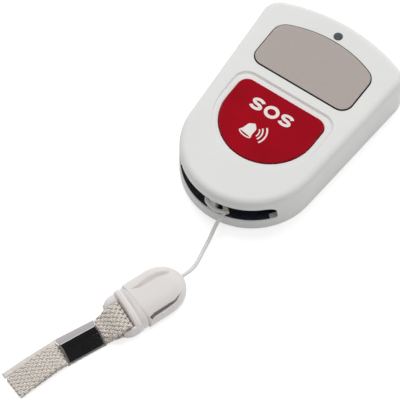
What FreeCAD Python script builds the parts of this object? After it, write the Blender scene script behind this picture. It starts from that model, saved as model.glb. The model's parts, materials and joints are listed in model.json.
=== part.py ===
import FreeCAD, Part
import math
import os

import Sketcher

# A pendant call button on a neck strap, in millimetres. It lies on its back: Z points out of
# its face, Y towards the lamp end, and the origin is under the middle of the case.
SIZES = {
    # case outline, seen from the front
    "case_length": 73.0,
    "case_width": 49.2,
    "case_thickness": 15.0,
    "foot_taper": 3.0,
    "head_radius": 56.5,
    "shoulder_radius": 5.8,
    # walls and edges of the two covers
    "side_wall": 2.0,
    "face_wall": 2.0,
    "back_wall": 1.8,
    "parting_height": 7.3,
    "face_edge_radius": 2.2,
    "back_edge_radius": 1.2,
    # window across the foot of the case for the neck cord
    "window_margin": 3.9,
    "window_bottom": 4.9,
    "window_top": 11.1,
    "window_upper_radius": 2.6,
    "window_lower_radius": 1.0,
    "window_reach": 6.5,
    "rim_bevel": 0.3,
    "post_width": 2.4,
    "post_depth": 2.0,
    "post_setback": 1.1,
    # call key and the sloping panel sunk round it
    "key_radius": 15.15,
    "key_margin": 30.7,
    "key_reach": 8.8,
    "key_corner_radius": 3.3,
    "key_gap": 0.25,
    "key_proud": 0.45,
    "key_wall": 1.4,
    "key_edge_radius": 0.45,
    "key_flange_width": 1.4,
    "key_flange_thickness": 0.8,
    "key_float": 0.1,
    "key_stem_radius": 2.6,
    "panel_border": 1.95,
    "panel_margin": 2.0,
    "panel_corner_radius": 4.4,
    "panel_depth": 0.6,
    "panel_wall_slope": 45.0,
    # satin plate and the black film that holds it
    "plate_side_margin": 7.35,
    "plate_spacing": 3.95,
    "plate_margin": 8.1,
    "plate_arch_radius": 37.2,
    "plate_upper_radius": 4.4,
    "plate_lower_radius": 3.6,
    "plate_thickness": 1.0,
    "plate_proud": 0.35,
    "plate_gap": 0.3,
    "plate_edge_radius": 0.25,
    "film_thickness": 0.2,
    "film_border": 0.2,
    # lamp
    "lamp_margin": 5.75,
    "lamp_radius": 1.35,
    "lamp_gap": 0.1,
    "lamp_proud": 0.15,
    "lamp_flange_radius": 2.2,
    "lamp_flange_thickness": 0.8,
    "lamp_length": 5.2,
    # screws that join the covers
    "upper_screw_side": 5.2,
    "upper_screw_margin": 10.0,
    "lower_screw_side": 5.0,
    "lower_screw_drop": 3.1,
    "screw_radius": 1.0,
    "screw_length": 7.0,
    "screw_head_radius": 1.9,
    "screw_head_height": 1.4,
    "screw_sink": 2.0,
    "screw_drive_width": 0.5,
    "screw_drive_depth": 0.8,
    "screw_gap": 0.15,
    "screw_bite_gap": 0.05,
    "screw_spare": 1.0,
    "boss_radius": 2.7,
    "boss_top": 5.2,
    "pillar_radius": 2.3,
    # black tray inside
    "tray_gap": 0.3,
    "tray_floor": 1.0,
    "tray_wall": 1.2,
    "chamber_depth": 5.5,
    "chamber_wall": 1.5,
    "chamber_half_angle": 70.0,
    "chamber_gap": 0.1,
    "chamber_drop": 6.1,
    "sill_half_angle": 49.5,
    "sill_setback": 0.3,
    "sill_thickness": 0.3,
    "post_gap": 0.3,
    "well_wall": 1.0,
    "well_height": 2.6,
    # circuit board
    "board_underside": 7.6,
    "board_thickness": 1.0,
    "board_inset": 3.0,
    "board_drop": 4.1,
    "board_clearance": 0.4,
    # coin cell and its contacts
    "cell_radius": 10.0,
    "cell_thickness": 3.2,
    "cell_step": 0.5,
    "cell_gap": 0.3,
    "cell_rim": 1.1,
    "cell_margin": 25.5,
    "contact_thickness": 0.3,
    "contact_width": 5.0,
    "contact_reach": 15.0,
    "contact_rise": 3.0,
    "contact_plate_length": 14.0,
    # parts on the board
    "switch_side": 6.2,
    "switch_height": 2.0,
    "switch_floor": 0.5,
    "switch_cover_thickness": 0.2,
    "switch_bore_radius": 2.4,
    "switch_offset": 0.7,
    "plunger_radius": 1.75,
    "plunger_gap": 0.1,
    "plunger_float": 0.1,
    "plunger_stand": 0.7,
    "plunger_flange_radius": 2.2,
    "plunger_flange_thickness": 0.5,
    "dome_thickness": 0.1,
    "chip_side": 5.0,
    "chip_height": 0.9,
    "chip_x": 8.5,
    "chip_offset": 1.0,
    "crystal_length": 3.2,
    "crystal_width": 2.5,
    "crystal_height": 0.8,
    "crystal_x": 1.5,
    "crystal_offset": 1.5,
    "diode_length": 2.0,
    "diode_width": 1.3,
    "diode_height": 0.9,
    "capacitor_length": 1.6,
    "capacitor_width": 0.8,
    "capacitor_height": 0.8,
    "capacitor_x": 8.5,
    "capacitor_offset": 6.5,
    "capacitor_pitch": 2.2,
    "aerial_length": 26.0,
    "aerial_width": 6.0,
    "aerial_strip": 1.0,
    "aerial_height": 0.6,
    "aerial_break": 2.0,
    "aerial_x": -10.0,
    "aerial_offset": 1.0,
    # neck cord, from the post to the clasp
    "cord_radius": 0.6,
    "knot_radius": 1.2,
    # clasp, crimp and strap, on one line that leaves the case at a slant
    "strap_turn": 18.7,
    "clasp_x": 5.6,
    "clasp_distance": 22.8,
    "clasp_nose": -0.6,
    "clasp_nose_radius": 7.4,
    "clasp_head_end": 16.3,
    "clasp_height": 6.4,
    "clasp_upper_radius": 2.7,
    "clasp_lower_radius": 1.7,
    "clasp_collar_length": 1.3,
    "clasp_collar_inset": 0.7,
    "clasp_collar_drop": 0.9,
    "clasp_collar_radius": 1.6,
    "clasp_slit_inset": 0.8,
    "clasp_slit_width": 1.0,
    "clasp_slit_turn": 38.0,
    "clasp_slit_end": 14.5,
    "clasp_slit_depth": 4.2,
    "clasp_bore_depth": 4.0,
    "clasp_bore_gap": 0.15,
    "clasp_split": 0.2,
    "tongue_half_width": 4.6,
    "tongue_height": 3.0,
    "tongue_length": 4.0,
    "socket_gap": 0.25,
    "socket_half_width": 7.35,
    "socket_end": 24.6,
    "socket_height": 5.6,
    "socket_step_length": 1.7,
    "socket_step_depth": 0.7,
    "socket_corner_radius": 2.2,
    "socket_edge_radius": 0.9,
    "lug_width": 2.1,
    "strap_slot_start": 20.5,
    "strap_slot_width": 1.9,
    "strap_bar_width": 1.8,
    "strap_bar_height": 2.0,
    "strap_bar_radius": 0.75,
    "strap_width": 9.8,
    "strap_thickness": 1.05,
    "strap_lift": 0.5,
    "strap_layer_gap": 0.05,
    "strap_end": 60.1,
    "strap_bar_gap": 0.1,
    "strap_drop_start": 1.6,
    "strap_drop_end": 4.3,
    "crimp_start": 29.0,
    "crimp_length": 13.0,
    "crimp_width": 11.0,
    "crimp_height": 3.7,
    "crimp_wall": 0.45,
    "crimp_slope_width": 1.9,
    "crimp_slope_height": 0.6,
}

# Way of the free cord from the knot to the clasp, which adds its own last two points. Here and
# in the loop's route, y is counted from the end of the case's foot.
CORD_ROUTE = [
    (4.6, 1.5, 6.5),
    (4.35, -0.9, 6.1),
    (4.2, -3.2, 4.1),
    (4.4, -6.2, 1.5),
    (4.8, -9.8, 0.75),
    (5.7, -13.8, 0.8),
    (6.2, -17.8, 1.5),
]

# Way of the loop round the post, from the knot and back to it.
LOOP_ROUTE = [
    (4.4, 1.7, 6.8),
    (2.9, 3.4, 7.1),
    (0.4, 4.1, 7.5),
    (-1.9, 3.9, 7.9),
    (-2.5, 2.2, 8.1),
    (-1.7, 0.4, 7.9),
    (0.6, 0.0, 7.4),
    (3.0, 0.0, 7.0),
    (4.5, 1.1, 6.7),
]

doc = FreeCAD.newDocument("call_pendant")
sheet = doc.addObject("Spreadsheet::Sheet", "Sizes")
for row, (alias, number) in enumerate(SIZES.items(), start=1):
    sheet.set("A%d" % row, alias)
    sheet.set("B%d" % row, str(number))
    sheet.setAlias("B%d" % row, alias)
doc.recompute()


class Dim:
    """A number together with the spreadsheet formula that gives it."""

    def __init__(self, value, formula):
        self.value = float(value)
        self.formula = formula

    def __add__(self, other):
        other = dim(other)
        return Dim(self.value + other.value, "(%s + %s)" % (self.formula, other.formula))

    def __sub__(self, other):
        other = dim(other)
        return Dim(self.value - other.value, "(%s - %s)" % (self.formula, other.formula))

    def __mul__(self, other):
        other = dim(other)
        return Dim(self.value * other.value, "(%s * %s)" % (self.formula, other.formula))

    def __truediv__(self, other):
        other = dim(other)
        return Dim(self.value / other.value, "(%s / %s)" % (self.formula, other.formula))

    def __neg__(self):
        return Dim(-self.value, "(0 - %s)" % self.formula)


def dim(number):
    """Any number as a Dim."""
    if isinstance(number, Dim):
        return number
    return Dim(number, "(%r)" % float(number))


class Sizes:
    """The spreadsheet's cells as Dims, by their aliases."""

    def __getattr__(self, alias):
        return Dim(sheet.get(alias), "Sizes.%s" % alias)


d = Sizes()
parts = []

# Heights that several pieces share.
case_top = d.case_thickness
inside_top = case_top - d.face_wall
floor_top = d.back_wall + d.tray_floor
board_top = d.board_underside + d.board_thickness
switch_top = board_top + d.switch_height
plunger_top = switch_top + d.plunger_stand
cell_top = d.board_underside - d.contact_thickness
cell_bottom = cell_top - d.cell_thickness
strap_layer_top = d.strap_lift + d.strap_thickness

# Places along the case, each measured from its head or its foot.
case_end = d.case_length / 2
foot_radius = d.case_width / 2 - d.foot_taper
foot_y = foot_radius - case_end
lamp_y = case_end - d.lamp_margin
plate_top_y = case_end - d.plate_margin
key_y = d.key_margin - case_end
key_top_y = key_y + d.key_reach
panel_radius = d.key_radius + d.panel_border
panel_top_y = key_top_y + d.panel_margin
plate_bottom_y = panel_top_y + d.plate_spacing
panel_foot_y = key_y - panel_radius
switch_y = key_y - d.switch_offset
cell_y = case_end - d.cell_margin
plate_half_width = d.case_width / 2 - d.plate_side_margin
clasp_y = -case_end - d.clasp_distance


def drive(thing, prop, size):
    thing.setExpression(prop, dim(size).formula)


def new_body(label):
    body = doc.addObject("PartDesign::Body", label)
    body.Label = label
    parts.append(body)
    return body


def new_sketch(body, name, role="XY_Plane", lift=0.0):
    sketch = body.newObject("Sketcher::SketchObject", body.Label + "_" + name)
    plane = [feature for feature in body.Origin.OriginFeatures if feature.Role == role]
    sketch.AttachmentSupport = [(plane[0], "")]
    sketch.MapMode = "FlatFace"
    if dim(lift).value:
        drive(sketch, "AttachmentOffset.Base.z", lift)
    return sketch


def pad(body, sketch, length, down=False):
    feature = body.newObject("PartDesign::Pad", sketch.Name + "_pad")
    feature.Profile = sketch
    feature.Reversed = down
    drive(feature, "Length", length)
    doc.recompute()
    return feature


def pocket(body, sketch, length=None, along=False):
    """A cut against the sketch's normal, or along it; with no length it goes through all."""
    before = body.Shape.Volume
    feature = body.newObject("PartDesign::Pocket", sketch.Name + "_pocket")
    feature.Profile = sketch
    feature.Reversed = along
    if length is None:
        feature.Type = "ThroughAll"
    else:
        drive(feature, "Length", length)
    doc.recompute()
    if body.Shape.Volume >= before - 1e-6:
        raise RuntimeError("%s cuts nothing" % feature.Name)
    return feature


def round_edges(body, name, radius, wanted):
    """A fillet on the edges of the body's last feature that wanted() picks."""
    base = body.Tip
    names = ["Edge%d" % (i + 1) for i, edge in enumerate(base.Shape.Edges) if wanted(edge)]
    fillet = body.newObject("PartDesign::Fillet", body.Label + "_" + name)
    fillet.Base = (base, names)
    drive(fillet, "Radius", radius)
    doc.recompute()
    return fillet


def bevel_edges(body, name, size, wanted):
    base = body.Tip
    names = ["Edge%d" % (i + 1) for i, edge in enumerate(base.Shape.Edges) if wanted(edge)]
    chamfer = body.newObject("PartDesign::Chamfer", body.Label + "_" + name)
    chamfer.Base = (base, names)
    drive(chamfer, "Size", size)
    doc.recompute()
    return chamfer


def level_at(edge, height):
    """Whether an edge lies flat at that height."""
    box = edge.BoundBox
    return abs(box.ZMin - height) < 1e-4 and abs(box.ZMax - height) < 1e-4


def constrain(sketch, size, *args):
    index = sketch.addConstraint(Sketcher.Constraint(*args, dim(size).value))
    drive(sketch, "Constraints[%d]" % index, size)


def place_point(sketch, geometry, point, x=None, y=None):
    """Ties a point of the geometry to distances from the sketch's origin."""
    if x is not None and dim(x).value == 0:
        sketch.addConstraint(Sketcher.Constraint("PointOnObject", geometry, point, -2))
    elif x is not None:
        constrain(sketch, x, "DistanceX", -1, 1, geometry, point)
    if y is not None and dim(y).value == 0:
        sketch.addConstraint(Sketcher.Constraint("PointOnObject", geometry, point, -1))
    elif y is not None:
        constrain(sketch, y, "DistanceY", -1, 1, geometry, point)


def vector(x, y):
    return FreeCAD.Vector(dim(x).value, dim(y).value, 0)


def add_line(sketch, start, end):
    return sketch.addGeometry(Part.LineSegment(start, end), False)


def add_arc(sketch, centre, radius, start, end):
    """An arc of a circle, anticlockwise between two angles in degrees."""
    circle = Part.Circle(centre, FreeCAD.Vector(0, 0, 1), dim(radius).value)
    arc = Part.ArcOfCircle(circle, math.radians(start), math.radians(end))
    return sketch.addGeometry(arc, False)


def add_circle(sketch, x, y, radius):
    circle = Part.Circle(vector(x, y), FreeCAD.Vector(0, 0, 1), dim(radius).value)
    index = sketch.addGeometry(circle, False)
    constrain(sketch, radius, "Radius", index)
    place_point(sketch, index, 3, x, y)


def join_round(sketch, pieces):
    """Joins each piece's end to the next one's start, tangent to it."""
    for piece, following in zip(pieces, pieces[1:] + pieces[:1]):
        sketch.addConstraint(Sketcher.Constraint("Tangent", piece, 2, following, 1))


def add_rectangle(sketch, x0, y0, x1, y1):
    corners = [vector(x0, y0), vector(x1, y0), vector(x1, y1), vector(x0, y1)]
    lines = [add_line(sketch, corners[i], corners[(i + 1) % 4]) for i in range(4)]
    for i in range(4):
        sketch.addConstraint(Sketcher.Constraint("Coincident", lines[i], 2, lines[(i + 1) % 4], 1))
        way = "Horizontal" if i % 2 == 0 else "Vertical"
        sketch.addConstraint(Sketcher.Constraint(way, lines[i]))
    place_point(sketch, lines[0], 1, x0, y0)
    place_point(sketch, lines[2], 1, x1, y1)


def add_rounded(sketch, x0, y0, x1, y1, low, high):
    """A rectangle with one radius at its two low corners and another at its two high ones."""
    x0, y0, x1, y1, low, high = [dim(size) for size in (x0, y0, x1, y1, low, high)]
    bottom = add_line(sketch, vector(x0 + low, y0), vector(x1 - low, y0))
    low_right = add_arc(sketch, vector(x1 - low, y0 + low), low, 270, 360)
    right = add_line(sketch, vector(x1, y0 + low), vector(x1, y1 - high))
    high_right = add_arc(sketch, vector(x1 - high, y1 - high), high, 0, 90)
    top = add_line(sketch, vector(x1 - high, y1), vector(x0 + high, y1))
    high_left = add_arc(sketch, vector(x0 + high, y1 - high), high, 90, 180)
    left = add_line(sketch, vector(x0, y1 - high), vector(x0, y0 + low))
    low_left = add_arc(sketch, vector(x0 + low, y0 + low), low, 180, 270)
    join_round(sketch, [bottom, low_right, right, high_right, top, high_left, left, low_left])
    for line in (bottom, top):
        sketch.addConstraint(Sketcher.Constraint("Horizontal", line))
    for line in (right, left):
        sketch.addConstraint(Sketcher.Constraint("Vertical", line))
    for arc, radius in ((low_right, low), (high_right, high), (high_left, high), (low_left, low)):
        constrain(sketch, radius, "Radius", arc)
    place_point(sketch, bottom, 1, y=y0)
    place_point(sketch, top, 1, y=y1)
    place_point(sketch, right, 1, x=x1)
    place_point(sketch, left, 1, x=x0)


def add_case_outline(sketch, inset=0.0):
    """The case seen from the front: round foot, widening sides, soft shoulders, arched head."""
    foot = foot_radius - inset
    head = d.head_radius - inset
    head_y = case_end - d.head_radius
    shoulder = d.shoulder_radius - inset
    shoulder_x = d.case_width / 2 - d.shoulder_radius
    reach = (d.head_radius - d.shoulder_radius).value
    shoulder_y = head_y.value + math.sqrt(reach ** 2 - shoulder_x.value ** 2)
    way = FreeCAD.Vector(shoulder_x.value, shoulder_y - foot_y.value, 0)
    lean = math.degrees(
        math.atan2(way.y, way.x) - math.acos((foot.value - shoulder.value) / way.Length)
    )
    turn = math.degrees(math.atan2(shoulder_y - head_y.value, shoulder_x.value))
    right_centre = FreeCAD.Vector(shoulder_x.value, shoulder_y, 0)
    left_centre = FreeCAD.Vector(-shoulder_x.value, shoulder_y, 0)

    def at(centre, radius, angle):
        way = FreeCAD.Vector(math.cos(math.radians(angle)), math.sin(math.radians(angle)), 0)
        return centre + way * dim(radius).value

    foot_point = vector(0, foot_y)
    bottom = add_arc(sketch, foot_point, foot, 180 - lean, 360 + lean)
    right = add_line(sketch, at(foot_point, foot, lean), at(right_centre, shoulder, lean))
    right_shoulder = add_arc(sketch, right_centre, shoulder, lean, turn)
    top = add_arc(sketch, vector(0, head_y), head, turn, 180 - turn)
    left_shoulder = add_arc(sketch, left_centre, shoulder, 180 - turn, 180 - lean)
    left = add_line(
        sketch, at(left_centre, shoulder, 180 - lean), at(foot_point, foot, 180 - lean)
    )
    join_round(sketch, [bottom, right, right_shoulder, top, left_shoulder, left])
    constrain(sketch, foot, "Radius", bottom)
    constrain(sketch, head, "Radius", top)
    constrain(sketch, shoulder, "Radius", right_shoulder)
    constrain(sketch, shoulder, "Radius", left_shoulder)
    place_point(sketch, bottom, 3, 0, foot_y)
    place_point(sketch, top, 3, 0, head_y)
    place_point(sketch, right_shoulder, 3, x=shoulder_x)
    place_point(sketch, left_shoulder, 3, x=-shoulder_x)


def add_key_outline(sketch, radius, top_y, corner, grow=0.0):
    """A half round below a straight top edge with rounded corners."""
    centre = key_y
    wide = radius + grow
    top_y = top_y + grow
    corner = corner + grow
    bottom = add_arc(sketch, vector(0, centre), wide, 180, 360)
    right = add_line(sketch, vector(wide, centre), vector(wide, top_y - corner))
    high_right = add_arc(sketch, vector(wide - corner, top_y - corner), corner, 0, 90)
    top = add_line(sketch, vector(wide - corner, top_y), vector(corner - wide, top_y))
    high_left = add_arc(sketch, vector(corner - wide, top_y - corner), corner, 90, 180)
    left = add_line(sketch, vector(-wide, top_y - corner), vector(-wide, centre))
    join_round(sketch, [bottom, right, high_right, top, high_left, left])
    for line in (right, left):
        sketch.addConstraint(Sketcher.Constraint("Vertical", line))
    sketch.addConstraint(Sketcher.Constraint("Horizontal", top))
    constrain(sketch, wide, "Radius", bottom)
    constrain(sketch, corner, "Radius", high_right)
    constrain(sketch, corner, "Radius", high_left)
    place_point(sketch, bottom, 3, 0, centre)
    place_point(sketch, top, 1, y=top_y)


def add_plate_outline(sketch, grow=0.0):
    """The plate: straight foot and sides under an arched top, with four rounded corners."""
    half = plate_half_width + grow
    low_y = plate_bottom_y - grow
    low = d.plate_lower_radius + grow
    high = d.plate_upper_radius + grow
    arch = d.plate_arch_radius + grow
    arch_y = plate_top_y - d.plate_arch_radius
    reach = (arch - high).value
    high_x = (half - high).value
    high_y = arch_y.value + math.sqrt(reach ** 2 - high_x ** 2)
    turn = math.degrees(math.atan2(high_y - arch_y.value, high_x))
    bottom = add_line(sketch, vector(low - half, low_y), vector(half - low, low_y))
    low_right = add_arc(sketch, vector(half - low, low_y + low), low, 270, 360)
    right = add_line(sketch, vector(half, low_y + low), vector(half, high_y))
    high_right = add_arc(sketch, vector(high_x, high_y), high, 0, turn)
    top = add_arc(sketch, vector(0, arch_y), arch, turn, 180 - turn)
    high_left = add_arc(sketch, vector(-high_x, high_y), high, 180 - turn, 180)
    left = add_line(sketch, vector(-half, high_y), vector(-half, low_y + low))
    low_left = add_arc(sketch, vector(low - half, low_y + low), low, 180, 270)
    join_round(sketch, [bottom, low_right, right, high_right, top, high_left, left, low_left])
    sketch.addConstraint(Sketcher.Constraint("Horizontal", bottom))
    for line in (right, left):
        sketch.addConstraint(Sketcher.Constraint("Vertical", line))
    for arc, radius in ((low_right, low), (low_left, low), (high_right, high), (high_left, high)):
        constrain(sketch, radius, "Radius", arc)
    constrain(sketch, arch, "Radius", top)
    place_point(sketch, top, 3, 0, arch_y)
    place_point(sketch, bottom, 1, y=low_y)
    place_point(sketch, right, 1, x=half)
    place_point(sketch, left, 1, x=-half)


def slope_sketch(body, name, raised=0.0):
    """A sketch on the panel's slope, or on a plane raised above it and parallel to it."""
    sketch = new_sketch(body, name)
    start = FreeCAD.Placement(
        FreeCAD.Vector(0, 0, 1), FreeCAD.Rotation(FreeCAD.Vector(-1, 0, 0), 1)
    )
    sketch.AttachmentOffset = start
    run = panel_top_y - panel_foot_y
    angle = "atan(%s)" % (d.panel_depth / run).formula
    sketch.setExpression("AttachmentOffset.Rotation.Angle", angle)
    drive(sketch, "AttachmentOffset.Base.y", panel_foot_y)
    drive(sketch, "AttachmentOffset.Base.z", case_top + raised)
    return sketch


def screw_places():
    """The four screws: two beside the case's head and two where its foot begins."""
    high_x = d.case_width / 2 - d.upper_screw_side
    high_y = case_end - d.upper_screw_margin
    low_x = foot_radius - d.lower_screw_side
    low_y = foot_y - d.lower_screw_drop
    return [(high_x, high_y), (-high_x, high_y), (low_x, low_y), (-low_x, low_y)]


def cut_cord_window(body):
    """The window across the foot, drawn as seen from the foot and cut through the wall."""
    sketch = new_sketch(body, "window", "XZ_Plane", d.window_reach - foot_y)
    half = foot_radius - d.window_margin
    add_rounded(
        sketch,
        -half,
        d.window_bottom,
        half,
        d.window_top,
        d.window_lower_radius,
        d.window_upper_radius,
    )
    pocket(body, sketch, along=True)


def make_front_cover():
    body = new_body("front_cover")
    shell = new_sketch(body, "outline", lift=d.parting_height)
    add_case_outline(shell)
    pad(body, shell, case_top - d.parting_height)
    round_edges(
        body,
        "face_edge",
        d.face_edge_radius,
        lambda edge: level_at(edge, case_top.value),
    )
    hollow = new_sketch(body, "hollow", lift=d.parting_height)
    add_case_outline(hollow, d.side_wall)
    pocket(body, hollow, inside_top - d.parting_height, along=True)
    cut_cord_window(body)
    pillars = new_sketch(body, "pillars", lift=d.boss_top)
    for x, y in screw_places():
        add_circle(pillars, x, y, d.pillar_radius)
    pad(body, pillars, inside_top - d.boss_top)
    bores = new_sketch(body, "bores", lift=d.boss_top)
    for x, y in screw_places():
        add_circle(bores, x, y, d.screw_radius + d.screw_bite_gap)
    screw_end = d.screw_sink + d.screw_length
    pocket(body, bores, screw_end + d.screw_spare - d.boss_top, along=True)
    panel = slope_sketch(body, "panel")
    add_panel(panel)
    sunk = pocket(body, panel, d.panel_depth * 2, along=True)
    drive(sunk, "TaperAngle", d.panel_wall_slope)
    opening = new_sketch(body, "key_opening", lift=case_top)
    add_key_outline(opening, d.key_radius, key_top_y, d.key_corner_radius, d.key_gap)
    pocket(body, opening, d.face_wall + d.key_gap)
    seat = new_sketch(body, "plate_seat", lift=case_top)
    add_plate_outline(seat, d.plate_gap)
    pocket(body, seat, d.plate_thickness + d.film_thickness - d.plate_proud)
    lamp = new_sketch(body, "lamp_hole", lift=case_top)
    add_circle(lamp, 0, lamp_y, d.lamp_radius + d.lamp_gap)
    pocket(body, lamp, d.face_wall + d.lamp_gap)


def add_panel(sketch):
    """The panel's outline on its slope, whose own origin is at the panel's foot."""
    foot = panel_radius
    top_y = panel_top_y - panel_foot_y
    corner = d.panel_corner_radius
    wide = panel_radius
    bottom = add_arc(sketch, vector(0, foot), wide, 180, 360)
    right = add_line(sketch, vector(wide, foot), vector(wide, top_y - corner))
    high_right = add_arc(sketch, vector(wide - corner, top_y - corner), corner, 0, 90)
    top = add_line(sketch, vector(wide - corner, top_y), vector(corner - wide, top_y))
    high_left = add_arc(sketch, vector(corner - wide, top_y - corner), corner, 90, 180)
    left = add_line(sketch, vector(-wide, top_y - corner), vector(-wide, foot))
    join_round(sketch, [bottom, right, high_right, top, high_left, left])
    for line in (right, left):
        sketch.addConstraint(Sketcher.Constraint("Vertical", line))
    sketch.addConstraint(Sketcher.Constraint("Horizontal", top))
    constrain(sketch, wide, "Radius", bottom)
    constrain(sketch, corner, "Radius", high_right)
    constrain(sketch, corner, "Radius", high_left)
    place_point(sketch, bottom, 3, 0, foot)
    place_point(sketch, top, 1, y=top_y)


def make_back_cover():
    body = new_body("back_cover")
    shell = new_sketch(body, "outline")
    add_case_outline(shell)
    pad(body, shell, d.parting_height)
    round_edges(body, "back_edge", d.back_edge_radius, lambda edge: level_at(edge, 0.0))
    hollow = new_sketch(body, "hollow", lift=d.parting_height)
    add_case_outline(hollow, d.side_wall)
    pocket(body, hollow, d.parting_height - d.back_wall)
    cut_cord_window(body)
    bevel_edges(body, "rim_bevel", d.rim_bevel, is_rim_edge)
    bosses = new_sketch(body, "bosses", lift=d.back_wall)
    for x, y in screw_places():
        add_circle(bosses, x, y, d.boss_radius)
    pad(body, bosses, d.boss_top - d.back_wall)
    post = new_sketch(body, "post", lift=d.back_wall)
    outer = d.post_setback - case_end
    add_rectangle(post, -d.post_width / 2, outer, d.post_width / 2, outer + d.post_depth)
    pad(body, post, d.window_top - d.chamber_gap - d.back_wall)
    sinks = new_sketch(body, "screw_sinks")
    for x, y in screw_places():
        add_circle(sinks, x, y, d.screw_head_radius + d.screw_gap)
    pocket(body, sinks, d.screw_sink, along=True)
    holes = new_sketch(body, "screw_holes")
    for x, y in screw_places():
        add_circle(holes, x, y, d.screw_radius + d.screw_gap)
    pocket(body, holes, d.boss_top, along=True)


def is_rim_edge(edge):
    """The window's lower edge on the outside of the wall."""
    if not level_at(edge, d.window_bottom.value) or not hasattr(edge.Curve, "Radius"):
        return False
    return abs(edge.Curve.Radius - foot_radius.value) < 1e-4


def make_tray():
    body = new_body("inner_tray")
    edge = d.side_wall + d.tray_gap
    base = new_sketch(body, "floor", lift=d.back_wall)
    add_case_outline(base, edge)
    pad(body, base, d.tray_floor)
    wall = new_sketch(body, "wall", lift=floor_top)
    add_case_outline(wall, edge)
    add_case_outline(wall, edge + d.tray_wall)
    pad(body, wall, d.board_underside - floor_top)
    foot = new_sketch(body, "foot_clearance", lift=floor_top)
    half = d.case_width / 2
    add_rectangle(foot, -half, -case_end, half, foot_y - d.chamber_drop)
    pocket(body, foot, along=True)
    chamber = new_sketch(body, "chamber_wall", lift=floor_top)
    outer = foot_radius - d.chamber_depth
    add_foot_sector(chamber, outer - d.chamber_wall, outer, d.chamber_half_angle)
    pad(body, chamber, inside_top - d.chamber_gap - floor_top)
    sill = new_sketch(body, "window_sill", lift=d.window_bottom)
    inner = outer - d.chamber_wall / 2
    add_foot_sector(sill, inner, foot_radius - d.sill_setback, d.sill_half_angle)
    pad(body, sill, d.sill_thickness)
    well = new_sketch(body, "cell_well", lift=floor_top)
    add_circle(well, 0, cell_y, d.cell_radius + d.cell_gap)
    add_circle(well, 0, cell_y, d.cell_radius + d.cell_gap + d.well_wall)
    pad(body, well, d.well_height)
    slot = new_sketch(body, "contact_slot", lift=floor_top)
    half = d.contact_width / 2 + d.cell_gap
    add_rectangle(slot, -half, cell_y, half, cell_y + d.cell_radius + d.contact_rise)
    pocket(body, slot, d.well_height, along=True)
    places = new_sketch(body, "boss_clearance", lift=d.back_wall)
    for x, y in screw_places():
        add_circle(places, x, y, d.boss_radius + d.tray_gap)
    pocket(body, places, along=True)
    post = new_sketch(body, "post_clearance", lift=d.back_wall)
    half = d.post_width / 2 + d.post_gap
    inner = d.post_setback + d.post_depth + d.post_gap - case_end
    add_rectangle(post, -half, -case_end, half, inner)
    pocket(body, post, d.window_bottom + d.sill_thickness - d.back_wall, along=True)


def add_foot_sector(sketch, inner, outer, half_angle):
    """A sector of a ring behind the cord window, round the same centre as the case's foot."""
    half = half_angle.value
    centre = vector(0, foot_y)

    def at(radius, angle):
        way = FreeCAD.Vector(math.sin(math.radians(angle)), -math.cos(math.radians(angle)), 0)
        return centre + way * radius.value

    front = add_arc(sketch, centre, outer, 270 - half, 270 + half)
    back = add_arc(sketch, centre, inner, 270 - half, 270 + half)
    right = add_line(sketch, at(inner, half), at(outer, half))
    left = add_line(sketch, at(inner, -half), at(outer, -half))
    for arc, radius in ((front, outer), (back, inner)):
        constrain(sketch, radius, "Radius", arc)
        place_point(sketch, arc, 3, 0, foot_y)
    for line, arc_end in ((right, 2), (left, 1)):
        sketch.addConstraint(Sketcher.Constraint("Coincident", line, 1, back, arc_end))
        sketch.addConstraint(Sketcher.Constraint("Coincident", line, 2, front, arc_end))
        sketch.addConstraint(Sketcher.Constraint("PointOnObject", front, 3, line))
    for line, sign in ((right, 1), (left, -1)):
        angle = math.radians(sign * half - 90)
        index = sketch.addConstraint(Sketcher.Constraint("Angle", line, angle))
        formula = "(%d * %s - 90) * 1 deg" % (sign, half_angle.formula)
        sketch.setExpression("Constraints[%d]" % index, formula)


def make_key():
    body = new_body("call_key")
    bottom = inside_top - d.key_float - d.key_flange_thickness
    top = case_top + d.key_proud
    shape = (d.key_radius, key_top_y, d.key_corner_radius)
    flange = new_sketch(body, "flange", lift=bottom)
    add_key_outline(flange, *shape, d.key_flange_width)
    pad(body, flange, d.key_flange_thickness)
    cap = new_sketch(body, "cap", lift=bottom)
    add_key_outline(cap, *shape)
    pad(body, cap, top - bottom)
    round_edges(body, "edge", d.key_edge_radius, lambda edge: level_at(edge, top.value))
    hollow = new_sketch(body, "hollow", lift=bottom)
    add_key_outline(hollow, *shape, -d.key_wall)
    pocket(body, hollow, top - d.key_wall - bottom, along=True)
    stem = new_sketch(body, "stem", lift=plunger_top)
    add_circle(stem, 0, switch_y, d.key_stem_radius)
    pad(body, stem, top - d.key_wall - plunger_top)


def make_plate():
    top = case_top + d.plate_proud
    body = new_body("name_plate")
    face = new_sketch(body, "outline", lift=top - d.plate_thickness)
    add_plate_outline(face)
    pad(body, face, d.plate_thickness)
    round_edges(body, "edge", d.plate_edge_radius, lambda edge: level_at(edge, top.value))
    body = new_body("plate_film")
    film = new_sketch(body, "outline", lift=top - d.plate_thickness - d.film_thickness)
    add_plate_outline(film, d.film_border)
    pad(body, film, d.film_thickness)


def make_lamp():
    body = new_body("lamp_lens")
    top = case_top + d.lamp_proud
    pipe = new_sketch(body, "pipe", lift=top - d.lamp_length)
    add_circle(pipe, 0, lamp_y, d.lamp_radius)
    pad(body, pipe, d.lamp_length)
    round_edges(body, "tip", d.lamp_proud, lambda edge: level_at(edge, top.value))
    flange = new_sketch(body, "flange", lift=inside_top - d.lamp_flange_thickness)
    add_circle(flange, 0, lamp_y, d.lamp_flange_radius)
    pad(body, flange, d.lamp_flange_thickness)
    make_block("lamp_diode", 0, lamp_y, d.diode_length, d.diode_width, d.diode_height)


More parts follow.
